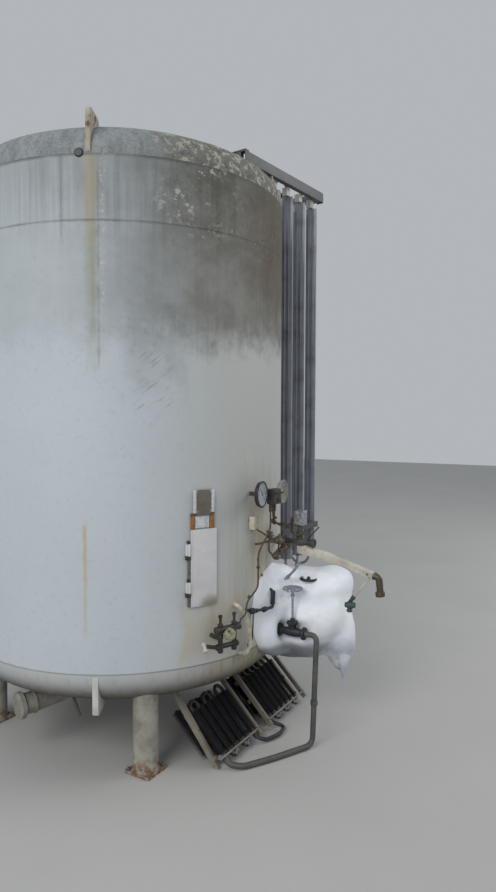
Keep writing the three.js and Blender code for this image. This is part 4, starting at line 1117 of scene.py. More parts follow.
# Rime: a white crust of fine needles that lies over part of the cold metal.
rime, entry, leave = new_group("rime", {"Place": None, "Size": 0.02, "Cover": 0.4},
        {"Mask": "Float", "Crust": "Float"})
tree = rime
crusted = islands(tree, entry["Place"], entry["Size"], entry["Cover"], 0.12)
needles = speckle(tree, entry["Place"], 420.0, 2.0)
tree.links.new(crusted, leave["Mask"])
tree.links.new(times(tree, crusted, plus_share(tree, needles, 0.6, 0.6)), leave["Crust"])


def rimed_metal(name, light, dark, size, cover, roughness=0.5, metallic=0.3):
    """Dark metal with rime over part of it."""
    finish, tree, shader, place = new_finish(name, roughness)
    cold = placed(tree, rime, {"Place": place, "Size": size, "Cover": cover})
    colour = mix(tree, speckle(tree, place, 40.0, 4.0), light, dark)
    rusty = islands(tree, place, 0.02, 0.2, 0.1)
    colour = stained(tree, colour, (92, 66, 48), rusty, 0.6)
    colour = mix(tree, cold["Mask"], colour, (222, 228, 236))
    bare = times(tree, sum_up(tree, "SUBTRACT", 1.0, cold["Mask"]), metallic)
    tree.links.new(bare, shader.inputs["Metallic"])
    dressed(tree, shader, colour, cold["Crust"], 0.0014, plus_share(tree, cold["Mask"], 0.35, roughness))
    return finish


def fitting(mesh, profile, at, way, sides=20, ease=0.002, steps=2):
    """A turned solid with eased corners, whose profile runs on to the axis at both ends."""
    closed = [(0, profile[0][1])] + profile + [(0, profile[-1][1])]
    turned(mesh, eased(closed, ease, steps), at, way, sides)


def bolt_ring(mesh, centre, way, count, start, radius, across, head):
    """Bolts spaced round a flange that faces up or to the front."""
    side = Vector((0, 1, 0)) if way == UP else Vector(UP)
    for k in range(count):
        turn = radians(360 * k / count + start)
        spot = Vector(centre) + Vector((radius * cos(turn), 0, 0)) + side * radius * sin(turn)
        hex_bolt(mesh, spot, way, across, head)


cold_steel = rimed_metal("cold_steel", (58, 59, 62), (40, 41, 44), 0.03, 0.24)
mesh = bmesh.new()
at = (VALVE.x, 0, VALVE.z)
fitting(mesh, mm((21, 1163), (21, 1262), (46, 1262), (46, 1280), (26, 1280), (27, 1310), (34, 1345),
                 (34, 1401), (27, 1436), (26, 1457), (46, 1457), (46, 1475)), at, OUT, 32, 0.003)
fitting(mesh, mm((30, 0), (30, 45), (34, 52), (42, 58), (42, 73), (30, 74), (22, 82), (16, 84), (16, 98)),
        VALVE, UP, 32)
bolt_ring(mesh, VALVE + Vector((0, 0, 0.0725)), UP, 6, 30, 0.036, 0.008, 0.006)
bolt_ring(mesh, (VALVE.x, -1.28, VALVE.z), OUT, 4, 45, 0.036, 0.009, 0.007)
bolt_ring(mesh, (VALVE.x, -1.457, VALVE.z), (0, 1, 0), 4, 45, 0.036, 0.009, 0.007)
turned(mesh, mm((0, 78), (20, 78), (20, 86), (17.5, 88), (0, 88)), VALVE, UP, 6)
piece("draw_valve_body", mesh, cold_steel, node="draw_valve")

# Handwheel: a cast wheel on the long spindle that keeps the packing clear of the cold.
# It turns with the spindle, and every part of it is coated in white rime.
frosted_iron = rimed_metal("frosted_iron", (150, 156, 162), (112, 118, 124), 0.016, 0.46, 0.6, 0.2)


def furred(mesh, depth, grain=90.0, seed=0.0):
    """Roughens a form by pushing its corners along their normals, as a coat of rime does."""
    mesh.normal_update()
    for corner in mesh.verts:
        rough = noise.noise(corner.co * grain + Vector((seed, 0, 0)))
        corner.co += corner.normal * depth * rough


def wheel_rim(mesh, centre, middle, thick, sides=56, around=12):
    rows = []
    for k in range(sides):
        turn = 2 * pi * k / sides
        out = Vector((cos(turn), sin(turn), 0))
        grip = thick * (1 + 0.08 * cos(turn * 12))
        rows.append([mesh.verts.new(Vector(centre) + out * (middle + grip * cos(b)) +
                Vector((0, 0, grip * sin(b)))) for b in (2 * pi * n / around for n in range(around))])
    for k in range(sides):
        for n in range(around):
            j, m = (k + 1) % sides, (n + 1) % around
            mesh.faces.new((rows[k][n], rows[j][n], rows[j][m], rows[k][m]))


mesh = bmesh.new()
centre = Vector((VALVE.x, VALVE.y, WHEEL_HEIGHT))
wheel_rim(mesh, centre, 0.066, 0.0085)
for k in range(8):
    turn = 2 * pi * k / 8
    out = Vector((cos(turn), sin(turn), 0))
    spoke = [centre + out * reach + Vector((0, 0, lift))
             for reach, lift in ((0.012, 0.004), (0.03, 0.001), (0.05, -0.001), (0.064, 0.0))]
    swept(mesh, spoke, 0.005, 10, taper=[0.0068, 0.0052, 0.0048, 0.0058])
fitting(mesh, mm((18, -14), (20, 0), (18, 14), (13, 14), (13, 22)), centre, UP, 24)
furred(mesh, 0.0012)
foot = VALVE.z + 0.0985
fitting(mesh, [(0.008, foot), (0.008, 1.038), (0.015, 1.04), (0.015, 1.058), (0.008, 1.06), (0.008, 1.11)],
        (VALVE.x, VALVE.y, 0), UP, 20, 0.0015)
piece("draw_valve_wheel", mesh, frosted_iron, body="valve_wheel", node="draw_valve_handwheel")

# Riser: 40 mm steel pipe bent down from the valve and along the ground to the left coil.
# A screwed coupling joins it part of the way down, and its paint is a worn grey-green.
riser_paint = painted_steel("riser_paint", (80, 87, 84), (56, 63, 62), (98, 80, 64), 0.04, 0.3, 0.6, 0.5,
        deep=0.0006)
mesh = bmesh.new()
riser_route = [(0.15, -1.4753, 0.785), (0.15, -1.565, 0.785), (0.088, -1.566, 0.024), (-0.208, -1.416, 0.024),
               (-0.415, -1.29, 0.024), on_slope(-0.44, -0.07), on_slope(-0.44, -0.0003)]
swept(mesh, eased(riser_route, 0.06, 8), 0.0198, 24)
pipe_way = (Vector(riser_route[2]) - Vector(riser_route[1])).normalized()
joint = Vector((0.112, -1.5656, 0.3175))
fitting(mesh, mm((26, -12.5), (28, -9), (28, 9), (26, 12.5)), joint, pipe_way, 8, 0.001, 1)
turned(mesh, mm((0, -19), (23.5, -19), (23.5, 19), (0, 19)), joint, pipe_way, 24)
piece("riser_pipework", mesh, riser_paint, node="riser_pipe")

# Fill line: a flanged pipe stub with its shut-off valve, whose stem runs up to the actuator.
# A thin hand lever stands off the end, for use when there is no air to drive it.
FILL = Vector((0.25, -1.385, 1.425))
mesh = bmesh.new()
fitting(mesh, mm((21, 1178), (21, 1260), (34, 1260), (34, 1278), (21.5, 1278), (21.5, 1345), (28, 1352),
                 (29, 1418), (21.5, 1425), (21.5, 1476), (32, 1476), (32, 1500), (16, 1500), (16, 1494)),
        (FILL.x, 0, FILL.z), OUT, 32)
fitting(mesh, mm((22, 0), (22, 53), (31, 53), (31, 75), (22, 75), (22, 122.7)), FILL, UP, 28)
bolt_ring(mesh, FILL + Vector((0, 0, 0.075)), UP, 6, 0, 0.0265, 0.006, 0.005)
bolt_ring(mesh, (FILL.x, -1.278, FILL.z), OUT, 4, 45, 0.0265, 0.0065, 0.005)
swept(mesh, mm((250, -1435, 1440), (250, -1532, 1548)), 0.0055, 12)
swept(mesh, mm((250, -1506, 1519), (250, -1532.5, 1548.6)), 0.0058, 12)
piece("fill_line_pipework", mesh, dark_pipe, node="fill_line")

# Actuator box: a small square housing wrapped in aluminium foil tape against the weather.
# It sits on the fill valve's stem, and the tape is creased where it was pressed down.
foil, tree, shader, place = new_finish("foil_tape", 0.34, 0.9)
folds = put(tree, "TexVoronoi", {"Vector": place, "Scale": 46.0, "Randomness": 1.0}, feature="F1")
tone = step_up(tree, folds.outputs["Distance"], 0.1, 0.7)
colour = mix(tree, tone, (206, 208, 212), (150, 152, 158))
creased = sum_up(tree, "ADD", folds.outputs["Distance"], speckle(tree, place, 120.0, 3.0))
dressed(tree, shader, mix(tree, speckle(tree, place, 30.0, 4.0), colour, (176, 178, 182)), creased, 0.003)
part = bmesh.new()
block(part, (0.2115, -1.4235, 1.5495), (0.2885, -1.3465, 1.6585), 0.008, steps=3)
long_edges = [edge for edge in part.edges if edge.calc_length() > 0.03]
bmesh.ops.subdivide_edges(part, edges=long_edges, cuts=11, use_grid_fill=True)
bmesh.ops.triangulate(part, faces=[face for face in part.faces if len(face.verts) > 4])
part.normal_update()
for corner in part.verts:
    fold = noise.noise(corner.co * 34) * 0.7 + noise.noise(corner.co * 80) * 0.3
    corner.co -= corner.normal * 0.0022 * (1 + fold)
piece("actuator_foil_box", part, foil, node="actuator_box", crease=24)

# Fill arm: a pale painted steel channel that reaches out to the filling point, bent at its middle.
# It is clamped under the fill line, is drilled near its end, and carries a thin rod down to a valve.
arm_paint = painted_steel("arm_paint", (214, 210, 196), (196, 191, 176), (128, 98, 70), 0.04, 0.24, 0.42,
        0.55, deep=0.0005)
arm_outline = mm((1366, 1402), (1366, 1345), (1666, 1298), (1940, 1226), (1950, 1264), (1610, 1367))
mesh = bmesh.new()
cut_plate(mesh, arm_outline, 0.05, Matrix.Translation((FILL.x, 0, 0)) @ END_ON, ease=0.005,
          hole=(1.907, 1.2505, 0.0095, 24))
block(mesh, (0.235, -1.44, 1.38), (0.265, -1.4, FILL.z - 0.0213), 0.002)
drop_top, drop_foot = Vector((0.25, -1.93, 1.241)), Vector((0.25, -1.808, 1.083))
swept(mesh, [drop_top, drop_foot], 0.0068, 14)
for out, z in ((1.4, 1.404), (1.44, 1.398)):
    hex_bolt(mesh, (FILL.x - 0.012, -out, z - 0.006), (0, -0.14, 1), 0.008, 0.0045)
piece("fill_arm_channel", mesh, arm_paint, node="fill_arm")

# Fill coupling: a cast-bronze elbow with a ringed hose end, dulled to brown and green.
# It is screwed into the end of the pale arm and turned down, for a hose to hang from.
aged_brass, tree, shader, place = new_finish("aged_brass", 0.48, 0.55)
patina = islands(tree, place, 0.02, 0.45, 0.2)
colour = mix(tree, speckle(tree, place, 35.0, 4.0), (104, 94, 70), (74, 68, 54))
colour = stained(tree, colour, (66, 78, 70), patina, 0.8)
dressed(tree, shader, colour, patina, 0.0006, plus_share(tree, patina, 0.3, 0.42))
arm_way = Vector((0, -0.967, -0.2545))
arm_end = Vector((0.25, -1.945, 1.245))
elbow = [arm_end + arm_way * 0.0005, arm_end + arm_way * 0.04, Vector((0.25, -1.998, 1.11))]
mesh = bmesh.new()
swept(mesh, eased(elbow, 0.022, 6), 0.0235, 28)
down = (elbow[2] - elbow[1]).normalized()
fitting(mesh, mm((31, 0), (33, 4), (33, 30), (31, 34)), (0.25, -1.992, 1.139), down, 10)
for k in range(3):
    fitting(mesh, mm((25.5, 0), (25.5, 6)), elbow[1] + down * (0.018 + 0.016 * k), down, 28)
fitting(mesh, mm((29, 0), (29, 12)), elbow[0] + arm_way * 0.002, arm_way, 6)
piece("fill_coupling_elbow", mesh, aged_brass, node="fill_coupling")

# Hose valve: a small green-enamelled ball valve with tee ends.
# Its cast body hangs from the foot of the arm's rod, with a cross pipe and a drain stub.
green_enamel = painted_steel("green_enamel", (52, 84, 82), (36, 62, 62), (96, 72, 52), 0.02, 0.28, 0.5, 0.4,
        deep=0.0004)
mesh = bmesh.new()
drop_way = (drop_foot - drop_top).normalized()
fitting(mesh, mm((12, 0.5), (16, 6), (16, 30), (13, 34), (13, 62)), drop_foot, drop_way, 8)
cross_way = (Vector((0.25, -1.812, 1.018)) - Vector((0.25, -1.74, 1.012))).normalized()
fitting(mesh, mm((20, 0), (20, 12), (26, 20), (26, 52), (20, 60), (20, 72)), (0.25, -1.74, 1.012), cross_way,
        24, 0.004, 3)
fitting(mesh, mm((17, 0), (17, 30), (20, 34), (20, 50)), (0.25, -1.775, 1.015), (0, 0.1, -1), 6)
piece("hose_ball_valve", mesh, green_enamel, node="hose_valve")

# Gauges: the contents gauge and the pressure gauge, black-cased dials turned a little to the left.
# Each has a bezel, a printed card with plain ticks and numbers, a needle, and flat glass.
GAUGE_FACE = -1.33
GAUGE_WAY = Vector((sin(radians(6)), -cos(radians(6)), 0))
GAUGES = {"contents": {"at": (-0.221, GAUGE_FACE, 1.818), "radius": 0.09, "needle": 40},
          "pressure": {"at": (0.089, GAUGE_FACE, 1.808), "radius": 0.084, "needle": -35}}


def plain_finish(name, light, dark, roughness, metallic=0.0, grain=60.0, deep=0.0002):
    """Paint or plastic in two near tones with a fine grain."""
    finish, tree, shader, place = new_finish(name, roughness, metallic)
    cloudy = speckle(tree, place, grain, 4.0)
    colour = mix(tree, step_up(tree, cloudy, 0.35, 0.65), light, dark)
    fine_grain = speckle(tree, place, grain * 5, 3.0)
    duller = step_up(tree, cloudy, 0.2, 0.8, roughness, roughness + 0.15)
    dressed(tree, shader, colour, fine_grain, deep, duller)
    return finish


gauge_black = plain_finish("gauge_black", (34, 34, 36), (46, 46, 47), 0.4)
pale_bezel = plain_finish("pale_bezel", (150, 152, 154), (126, 128, 130), 0.45, 0.3)
dial_ink = plain_finish("dial_ink", (22, 22, 24), (38, 38, 40), 0.6)
white_card = plain_finish("white_dial_card", (222, 225, 230), (204, 208, 214), 0.55, grain=22.0)
yellow_card = plain_finish("yellowed_dial_card", (190, 184, 140), (170, 162, 118), 0.55, grain=22.0)
dial_glass, tree, shader, place = new_finish("dial_glass", 0.08)
shader.inputs["Transmission Weight"].default_value = 1.0
shader.inputs["IOR"].default_value = 1.45
tree.links.new(mix(tree, speckle(tree, place, 30.0), (244, 246, 246), (252, 252, 252)),
               shader.inputs["Base Color"])

for name, gauge in GAUGES.items():
    at, r = Vector(gauge["at"]), gauge["radius"]
    left = Vector(UP).cross(GAUGE_WAY).normalized()
    dial = Matrix((left, Vector(UP), GAUGE_WAY)).transposed().to_4x4()
    dial.translation = at
    mesh = bmesh.new()
    boss = -0.0447 if name == "contents" else -0.0435
    fitting(mesh, [(0.02, boss), (0.02, -0.03), (r - 0.01, -0.03), (r - 0.006, -0.026), (r - 0.006, -0.013),
                   (r, -0.012), (r, -0.002), (r - 0.003, 0.0), (r - 0.011, 0.0), (r - 0.012, -0.007)], at,
            GAUGE_WAY, 64, 0.0015)
    case = gauge_black if name == "contents" else pale_bezel
    piece(name + "_gauge_case", mesh, case, node=name + "_gauge")
    mesh = bmesh.new()
    turned(mesh, [(0, -0.0068), (r - 0.0125, -0.0068), (r - 0.013, -0.0062), (0, -0.0062)], at, GAUGE_WAY, 64)
    card = white_card if name == "contents" else yellow_card
    piece(name + "_gauge_card", mesh, card)
    mesh = bmesh.new()
    for k in range(31):
        turn = radians(225 - 270 * k / 30)
        deep, wide = (0.01, 0.0011) if k % 5 == 0 else (0.005, 0.0006)
        tick = dial @ Matrix.Rotation(turn, 4, "Z")
        block(mesh, (r - 0.018 - deep, -wide, -0.0063), (r - 0.018, wide, -0.0059), 0, tick)
    needle = [(-0.018, -0.003), (0.0, -0.0036), (r * 0.62, -0.0009), (r * 0.66, 0), (r * 0.62, 0.0009),
              (0.0, 0.0036), (-0.018, 0.003)]
    set_needle = dial @ about_z(90 + gauge["needle"]) @ Matrix.Translation((0, 0, -0.0045))
    cut_plate(mesh, needle, 0.0008, set_needle @ Matrix.Rotation(radians(90), 4, "X"), ease=0)
    turned(mesh, eased(mm((0, -6), (7, -6), (7, -3.8), (0, -3.2)), 0.0005, 1), at, GAUGE_WAY, 20)
    piece(name + "_gauge_marks", mesh, dial_ink)
    for k in range(7):
        turn = radians(225 - 45 * k)
        text = bpy.data.curves.new("%s_number_%d" % (name, k), "FONT")
        text.body = str(k * 2)
        text.size = 0.017
        text.align_x = "CENTER"
        text.align_y = "CENTER"
        text.extrude = 0.0002
        text.materials.append(dial_ink)
        number = bpy.data.objects.new(text.name, text)
        spot = Vector(((r - 0.037) * cos(turn), (r - 0.037) * sin(turn), -0.0061))
        number.matrix_world = dial @ Matrix.Translation(spot)
        bpy.context.scene.collection.objects.link(number)
        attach(number, "tank")
    mesh = bmesh.new()
    turned(mesh, [(0, -0.0028), (r - 0.0115, -0.0028), (r - 0.0115, -0.0013), (0, -0.0013)], at, GAUGE_WAY,
           64)
    piece(name + "_gauge_glass", mesh, dial_glass)

# Seam plugs: two black rubber plugs close the test holes beside the lifting lug.
# They are pressed into the top seam and the knuckle and stand a little proud of the plate.
mesh = bmesh.new()
for azimuth, out, z, wide, proud in ((-64.5, 1.196, 3.943, 0.029, 0.01), (-61.6, 1.186, 3.987, 0.013, 0.006)):
    turn = radians(azimuth)
    way = Vector((sin(turn), -cos(turn), 0))
    turned(mesh, eased([(0, -0.004), (wide, -0.004), (wide * 0.97, proud * 0.5), (wide * 0.75, proud),
                        (0, proud * 0.8)], 0.002, 2), way * out + Vector((0, 0, z)), way, 28)
piece("seam_plugs", mesh, gauge_black)

# Gauge bar and block: a flat bar welded off the jacket, with the gauges' valve block bolted to it.
# Both are black-painted steel, and three small valve stems stand out of the block.
GAUGE_BACK = -1.2907
block_black = painted_steel("block_black", (46, 45, 45), (30, 30, 31), (78, 66, 54), 0.015, 0.22, 0.35, 0.5,
        deep=0.0005)
mesh = bmesh.new()
block(mesh, (-0.23, GAUGE_BACK + HAIR, 1.785), (0.14, GAUGE_BACK + 0.0083, 1.835), 0.0015)
for low, high in ((-0.165, -0.155), (0.06, 0.07)):
    block(mesh, (low, GAUGE_BACK + 0.0085, 1.795), (high, -1.1915, 1.825), 0.001)
for x in (-0.14, -0.11, 0.02, 0.045):
    hex_bolt(mesh, (x, GAUGE_BACK + HAIR, 1.81), OUT, 0.011, 0.007)
piece("gauge_bar_flat", mesh, block_black, node="gauge_bar")
mesh = bmesh.new()
block(mesh, (-0.095, GAUGE_BACK - 0.062, 1.735), (0.0, GAUGE_BACK, 1.84), 0.003)
for x in (-0.075, -0.02):
    fitting(mesh, mm((12, 0), (12, 34)), (x, -1.31, 1.7005), UP, 6)
for x, z in ((-0.072, 1.815), (-0.022, 1.815), (-0.047, 1.765)):
    fitting(mesh, mm((10, 0), (10, 12), (6, 14), (6, 26)), (x, GAUGE_BACK - 0.062, z), OUT, 6, 0.001, 1)
piece("gauge_valve_block", mesh, block_black, node="gauge_block")

# Small-bore lines: 12 mm tube from the block down to the fill valve and the low manifold,
# with compression nuts at the joints; brown with age where it was bare copper.
copper_brown, tree, shader, place = new_finish("copper_brown", 0.5, 0.4)
dull = islands(tree, place, 0.02, 0.5, 0.3)
colour = mix(tree, dull, (84, 73, 62), (46, 43, 40))
dressed(tree, shader, colour, dull, 0.0003)


def tube_nut(mesh, at, way, across=0.011, long=0.016):
    r = across / cos(radians(30))
    fitting(mesh, [(r * 0.9, -long / 2), (r, -long / 2 + 0.002), (r, long / 2 - 0.002), (r * 0.9, long / 2)],
            at, way, 6, 0.0005, 1)


mesh = bmesh.new()
line = mm((-20, -1310, 1699.5), (-20, -1310, 1600), (150, -1330, 1560), (180, -1385, 1482),
          (218.1, -1385, 1482))
swept(mesh, eased(line, 0.03, 5), 0.006, 12)
for foot, head in (((0.07, -1.327, 1.501), (0.07, -1.327, 1.618)),
                   ((0.219, -1.329, 1.494), (0.219, -1.329, 1.642))):
    foot, head = Vector(foot), Vector(head)
    fitting(mesh, mm((7.5, 0), (7.5, 18), (11, 20), (11, 44), (7.5, 46), (7.5, 80), (10.5, 82), (10.5, 98),
                     (6, 100), (6, 114)), foot, head - foot, 12, 0.001, 1)
swept(mesh, mm((140, -1329, 1561), (218.5, -1329, 1561)), 0.006, 12)
tube_nut(mesh, (-0.02, -1.31, 1.69), UP)
tube_nut(mesh, (0.208, -1.385, 1.482), (1, 0, 0))
tube_nut(mesh, (0.095, -1.324, 1.573), (0.96, -0.1, -0.2))
piece("gauge_small_bore", mesh, copper_brown, node="gauge_lines")

mesh = bmesh.new()
line = mm((-75, -1310, 1699.5), (-75, -1310, 1560), (-150, -1255, 1400), (-150, -1255, 1160),
          (-250, -1225, 1080), (-310, -1250, 1010), (-376, -1248, 996), (-380, -1247, 970))
swept(mesh, eased(line, 0.035, 5), 0.006, 12)
tube_nut(mesh, (-0.075, -1.31, 1.69), UP)
tube_nut(mesh, (-0.15, -1.255, 1.3), UP)
piece("impulse_small_bore", mesh, copper_brown, node="impulse_line")

# Tube runs behind the block: three thin lines with three needle valves, between the gauges and the
# fill line, held off the jacket by their own fittings.
mesh = bmesh.new()
runs = [mm((-48, -1314.5, 1737), (-48, -1314.5, 1660), (10, -1290, 1600), (70, -1327, 1560)),
        mm((-130, -1225, 1560), (-100, -1270, 1530), (-20, -1290, 1470), (60, -1290, 1450),
           (150, -1300, 1470), (229, -1330, 1430)),
        mm((70, -1327, 1505), (75, -1300, 1430), (110, -1270, 1360), (230, -1300, 1402))]
for route in runs:
    swept(mesh, eased(route, 0.025, 5), 0.0055, 10)
for at, way in (((0.01, -1.29, 1.6), (0.6, -0.2, -0.5)), ((-0.02, -1.29, 1.47), (0.9, 0, -0.2)),
                ((0.11, -1.27, 1.36), (0.4, 0.3, -0.6))):
    tube_nut(mesh, at, way, 0.014, 0.04)
    side = Vector(way).cross(Vector((0, 1, 0))).normalized()
    swept(mesh, [Vector(at), Vector(at) + side * 0.035], 0.004, 8)
    disc(mesh, Vector(at) + side * 0.03, side, 0.013, 0.0, 0.008, 0.001, 16)
piece("gauge_tube_runs", mesh, copper_brown)

# Regulating valves: four stubby cast bodies with hexagon caps, strung on the same small lines.
# Years of cold and oil have left them brown and nearly black.
oily_brass = painted_steel("oily_brass", (88, 72, 54), (46, 40, 35), (120, 88, 60), 0.016, 0.42, 0.7, 0.5,
        deep=0.0008)
mesh = bmesh.new()
for at, way, long, wide in (((0.03, -1.322, 1.462), (0.97, -0.1, -0.2), 0.105, 0.027),
                            ((0.118, -1.318, 1.392), (0.95, -0.1, 0.25), 0.12, 0.03),
                            ((0.012, -1.306, 1.352), (0.9, 0.1, -0.35), 0.085, 0.024),
                            ((-0.052, -1.292, 1.512), (0.5, -0.1, -0.85), 0.07, 0.02)):
    at, way = Vector(at), Vector(way).normalized()
    half = long / 2
    fitting(mesh, [(wide * 0.7, -half), (wide * 0.7, -half * 0.62), (wide * 0.45, -half * 0.58),
                   (wide * 0.9, -half * 0.34), (wide, 0), (wide * 0.9, half * 0.34),
                   (wide * 0.45, half * 0.58), (wide * 0.7, half * 0.62), (wide * 0.7, half)], at, way, 20,
            0.0015)
    tube_nut(mesh, at - way * half * 0.86, way, wide * 0.66, 0.016)
    tube_nut(mesh, at + way * half * 0.86, way, wide * 0.66, 0.016)
    cap = way.cross(Vector((0, 1, 0))).normalized()
    cap = cap if cap.z > 0 else -cap
    fitting(mesh, [(wide * 0.62, 0), (wide * 0.62, wide * 1.3), (wide * 0.36, wide * 1.4),
                   (wide * 0.36, wide * 1.9)], at, cap, 16, 0.001, 1)
    tube_nut(mesh, at + cap * wide * 1.15, cap, wide * 0.62, wide * 0.4)
for route in (mm((86, -1326, 1450), (110, -1322, 1425), (130, -1318, 1400)),
              mm((58, -1324, 1380), (45, -1315, 1360), (30, -1308, 1350)),
              mm((-24, -1310, 1365), (-60, -1290, 1400), (-66, -1292, 1470), (-56, -1292, 1500)),
              mm((170, -1322, 1405), (205, -1328, 1420), (228.5, -1330, 1425)),
              mm((-20, -1315, 1470), (-75, -1280, 1470), (-90, -1240, 1455), (-85, -1196, 1445))):
    swept(mesh, eased(route, 0.012, 4), 0.0075, 12)
piece("regulating_valves", mesh, oily_brass)

# Lines at the ice: a dark elbow and a short run with its nuts lie on its face, and a thin drain
# drops from them to the knuckle. A grey tube climbs from the ice to the arm.
mesh = bmesh.new()
line = mm((62, -1232, 1100), (56, -1262, 1087), (44, -1268, 1000), (40, -1266, 975), (-60, -1258, 985),
          (-180, -1236, 1000), (-214, -1190, 1008))
swept(mesh, eased(line, 0.02, 4), 0.0105, 14)
fitting(mesh, mm((17, -34), (17, 60), (13, 64)), (0.049, -1.264, 1.03), (0.09, 0, 1), 16)
for at, way, across, long in (((-0.062, -1.258, 0.985), (1, 0.1, -0.1), 0.018, 0.034),
        ((-0.19, -1.232, 1.001), (0.8, -0.5, 0), 0.019, 0.036),
        ((-0.15, -1.243, 0.996), (1, 0.1, -0.1), 0.014, 0.02)):
    tube_nut(mesh, at, way, across, long)
drain = mm((-183, -1236, 995), (-186, -1236, 900), (-180, -1226, 790), (-170, -1180, 742))
swept(mesh, eased(drain, 0.02, 4), 0.0045, 10)
piece("ice_face_lines", mesh, cold_steel)
mesh = bmesh.new()
stay = mm((232, -1228, 1112), (192, -1310, 1166), (160, -1385, 1238), (134, -1436, 1302))
swept(mesh, eased(stay, 0.02, 4), 0.0095, 14)
tube_nut(mesh, (0.191, -1.313, 1.168), (-0.35, -0.75, 0.6), 0.014, 0.022)
piece("arm_stay_tube", mesh, frosted_iron)

# Bracket pad: a cream-painted steel block on the jacket that once held a lead.
# It is welded at its back and has two hexagon screws in its face.
cream_paint = painted_steel("cream_paint", (206, 198, 176), (188, 180, 158), (142, 100, 62), 0.03, 0.3, 0.45,
        0.6, deep=0.0006)
mesh = bmesh.new()
block(mesh, (-0.17, -1.235, 1.56), (-0.104, -1.19, 1.65), 0.005)
for z in (1.578, 1.632):
    hex_bolt(mesh, (-0.137, -1.235, z), OUT, 0.009, 0.006)
piece("bracket_pad_block", mesh, cream_paint, node="bracket_pad")

# Low manifold: two spindle valves between two cross pipes, welded off the jacket.
# Grease and dirt have turned it nearly black; a white-capped drain sticks out at its left.
SET_MANIFOLD = about_z(-21.4)
# the upper cross pipe's middle: how far in front of the axis, and how high
FRONT = -1.3
LOW = 0.957
greasy_iron = painted_steel("greasy_iron", (40, 40, 41), (25, 25, 27), (66, 50, 38), 0.02, 0.34, 0.25, 0.45,
        deep=0.0008)
mesh = bmesh.new()
along_x = (1, 0, 0)
fitting(mesh, mm((24, -98), (24, -80), (21, -78), (21, 78), (24, 80), (24, 98)), (0, FRONT, LOW), along_x, 24)
fitting(mesh, mm((20, -92), (20, -78), (16.5, -76), (16.5, 62), (20, 64), (20, 80)), (0, FRONT, LOW - 0.11),
        along_x, 24)
for x in (-0.06, 0.052):
    base = Vector((x, FRONT, LOW))
    fitting(mesh, mm((17, -150), (19, -140), (19, -128), (16, -126), (16, -60), (19, -55), (19, -30),
                     (16, -28), (16, 14), (19, 16), (19, 38), (13, 40), (9.5, 44), (9.5, 78), (12, 80),
                     (12, 98)), base, UP, 24, 0.0015)
    tube_nut(mesh, base + Vector((0, 0, 0.03)), UP, 0.0185, 0.014)
    swept(mesh, [base + Vector((-0.016, 0, 0.089)), base + Vector((0.016, 0, 0.089))], 0.0045, 10)
    swept(mesh, [(x, FRONT, LOW - 0.06), (x, -1.198, LOW - 0.06)], 0.0145, 16)
swept(mesh, [(-0.088, FRONT, LOW - 0.11), (-0.175, FRONT + 0.03, LOW - 0.09)], 0.013, 16)
piece("fill_manifold_pipework", mesh, greasy_iron, node="fill_manifold", turn=SET_MANIFOLD)
mesh = bmesh.new()
stub_way = Vector((-0.015, -0.045, -0.04))
fitting(mesh, mm((15, 0), (15, 16), (12, 18), (12, 44), (15, 46), (15, 62)),
        (-0.17, FRONT + 0.03, LOW - 0.075), stub_way, 20)
piece("drain_cap", mesh, arm_paint, turn=SET_MANIFOLD)

# Fill connection: a short bronze nozzle with a cream screwed cap, its face worn to green.
# Three lugs on the cap take a spanner, and it closes the manifold between fillings.
green_bronze, tree, shader, place = new_finish("green_bronze", 0.6, 0.2)
worn = islands(tree, place, 0.05, 0.55, 0.15)
colour = mix(tree, speckle(tree, place, 30.0, 4.0), (176, 172, 144), (146, 144, 112))
colour = mix(tree, worn, colour, (66, 80, 74))
dressed(tree, shader, colour, worn, 0.0006)
mesh = bmesh.new()
nozzle = (-0.014, FRONT, LOW - 0.025)
fitting(mesh, mm((34, 24.5), (34, 30), (40, 32), (40, 57), (37, 60), (30, 60), (30, 70), (27, 72), (14, 72),
                 (12, 68)), nozzle, OUT, 36, 0.0015)
for k in range(3):
    turn = radians(120 * k + 30)
    lug_at = Vector(nozzle) + Vector((0.0375 * cos(turn), -0.045, 0.0375 * sin(turn)))
    block(mesh, (-0.004, -0.01, -0.006), (0.002, 0.01, 0.006), 0.0015,
          Matrix.Translation(lug_at) @ Matrix.Rotation(-turn, 4, "Y"))
piece("fill_connection_cap", mesh, green_bronze, node="fill_connection", turn=SET_MANIFOLD)

# Cable conduit: cream ribbed plastic hose that loops out of the jacket and back beside the manifold.
# A moulded gland holds it at its foot, and the ribs let it bend in so short a loop.
conduit_cream = plain_finish("conduit_cream", (204, 200, 180), (176, 170, 148), 0.6, grain=30.0)
mesh = bmesh.new()
route = eased(mm((100, -1190, 1068), (100, -1238, 1060), (150, -1240, 1000), (188, -1234, 930),
                 (208, -1230, 812), (214, -1226, 752), (166, -1222, 728)), 0.035, 6)
fine = [route[0]]
for start, end in zip(route, route[1:]):
    count = max(1, int((end - start).length / 0.0022))
    fine += [start.lerp(end, (n + 1) / count) for n in range(count)]
reach, taper = 0.0, []
for k, spot in enumerate(fine):
    reach += (spot - fine[k - 1]).length if k else 0.0
    taper.append(0.0137 + 0.0012 * sin(reach * 2 * pi / 0.009))
swept(mesh, fine, 0.015, 16, taper=taper)
fitting(mesh, mm((20, 0), (20, 22), (17, 24), (17, 42)), (0.19, -1.224, 0.738), (-0.9, 0.1, -0.45), 20)
swept(mesh, mm((158, -1222, 724), (140, -1188, 722)), 0.012, 14)
piece("cable_conduit_hose", mesh, conduit_cream, node="cable_conduit", crease=60,
      turn=about_z(-19.5))
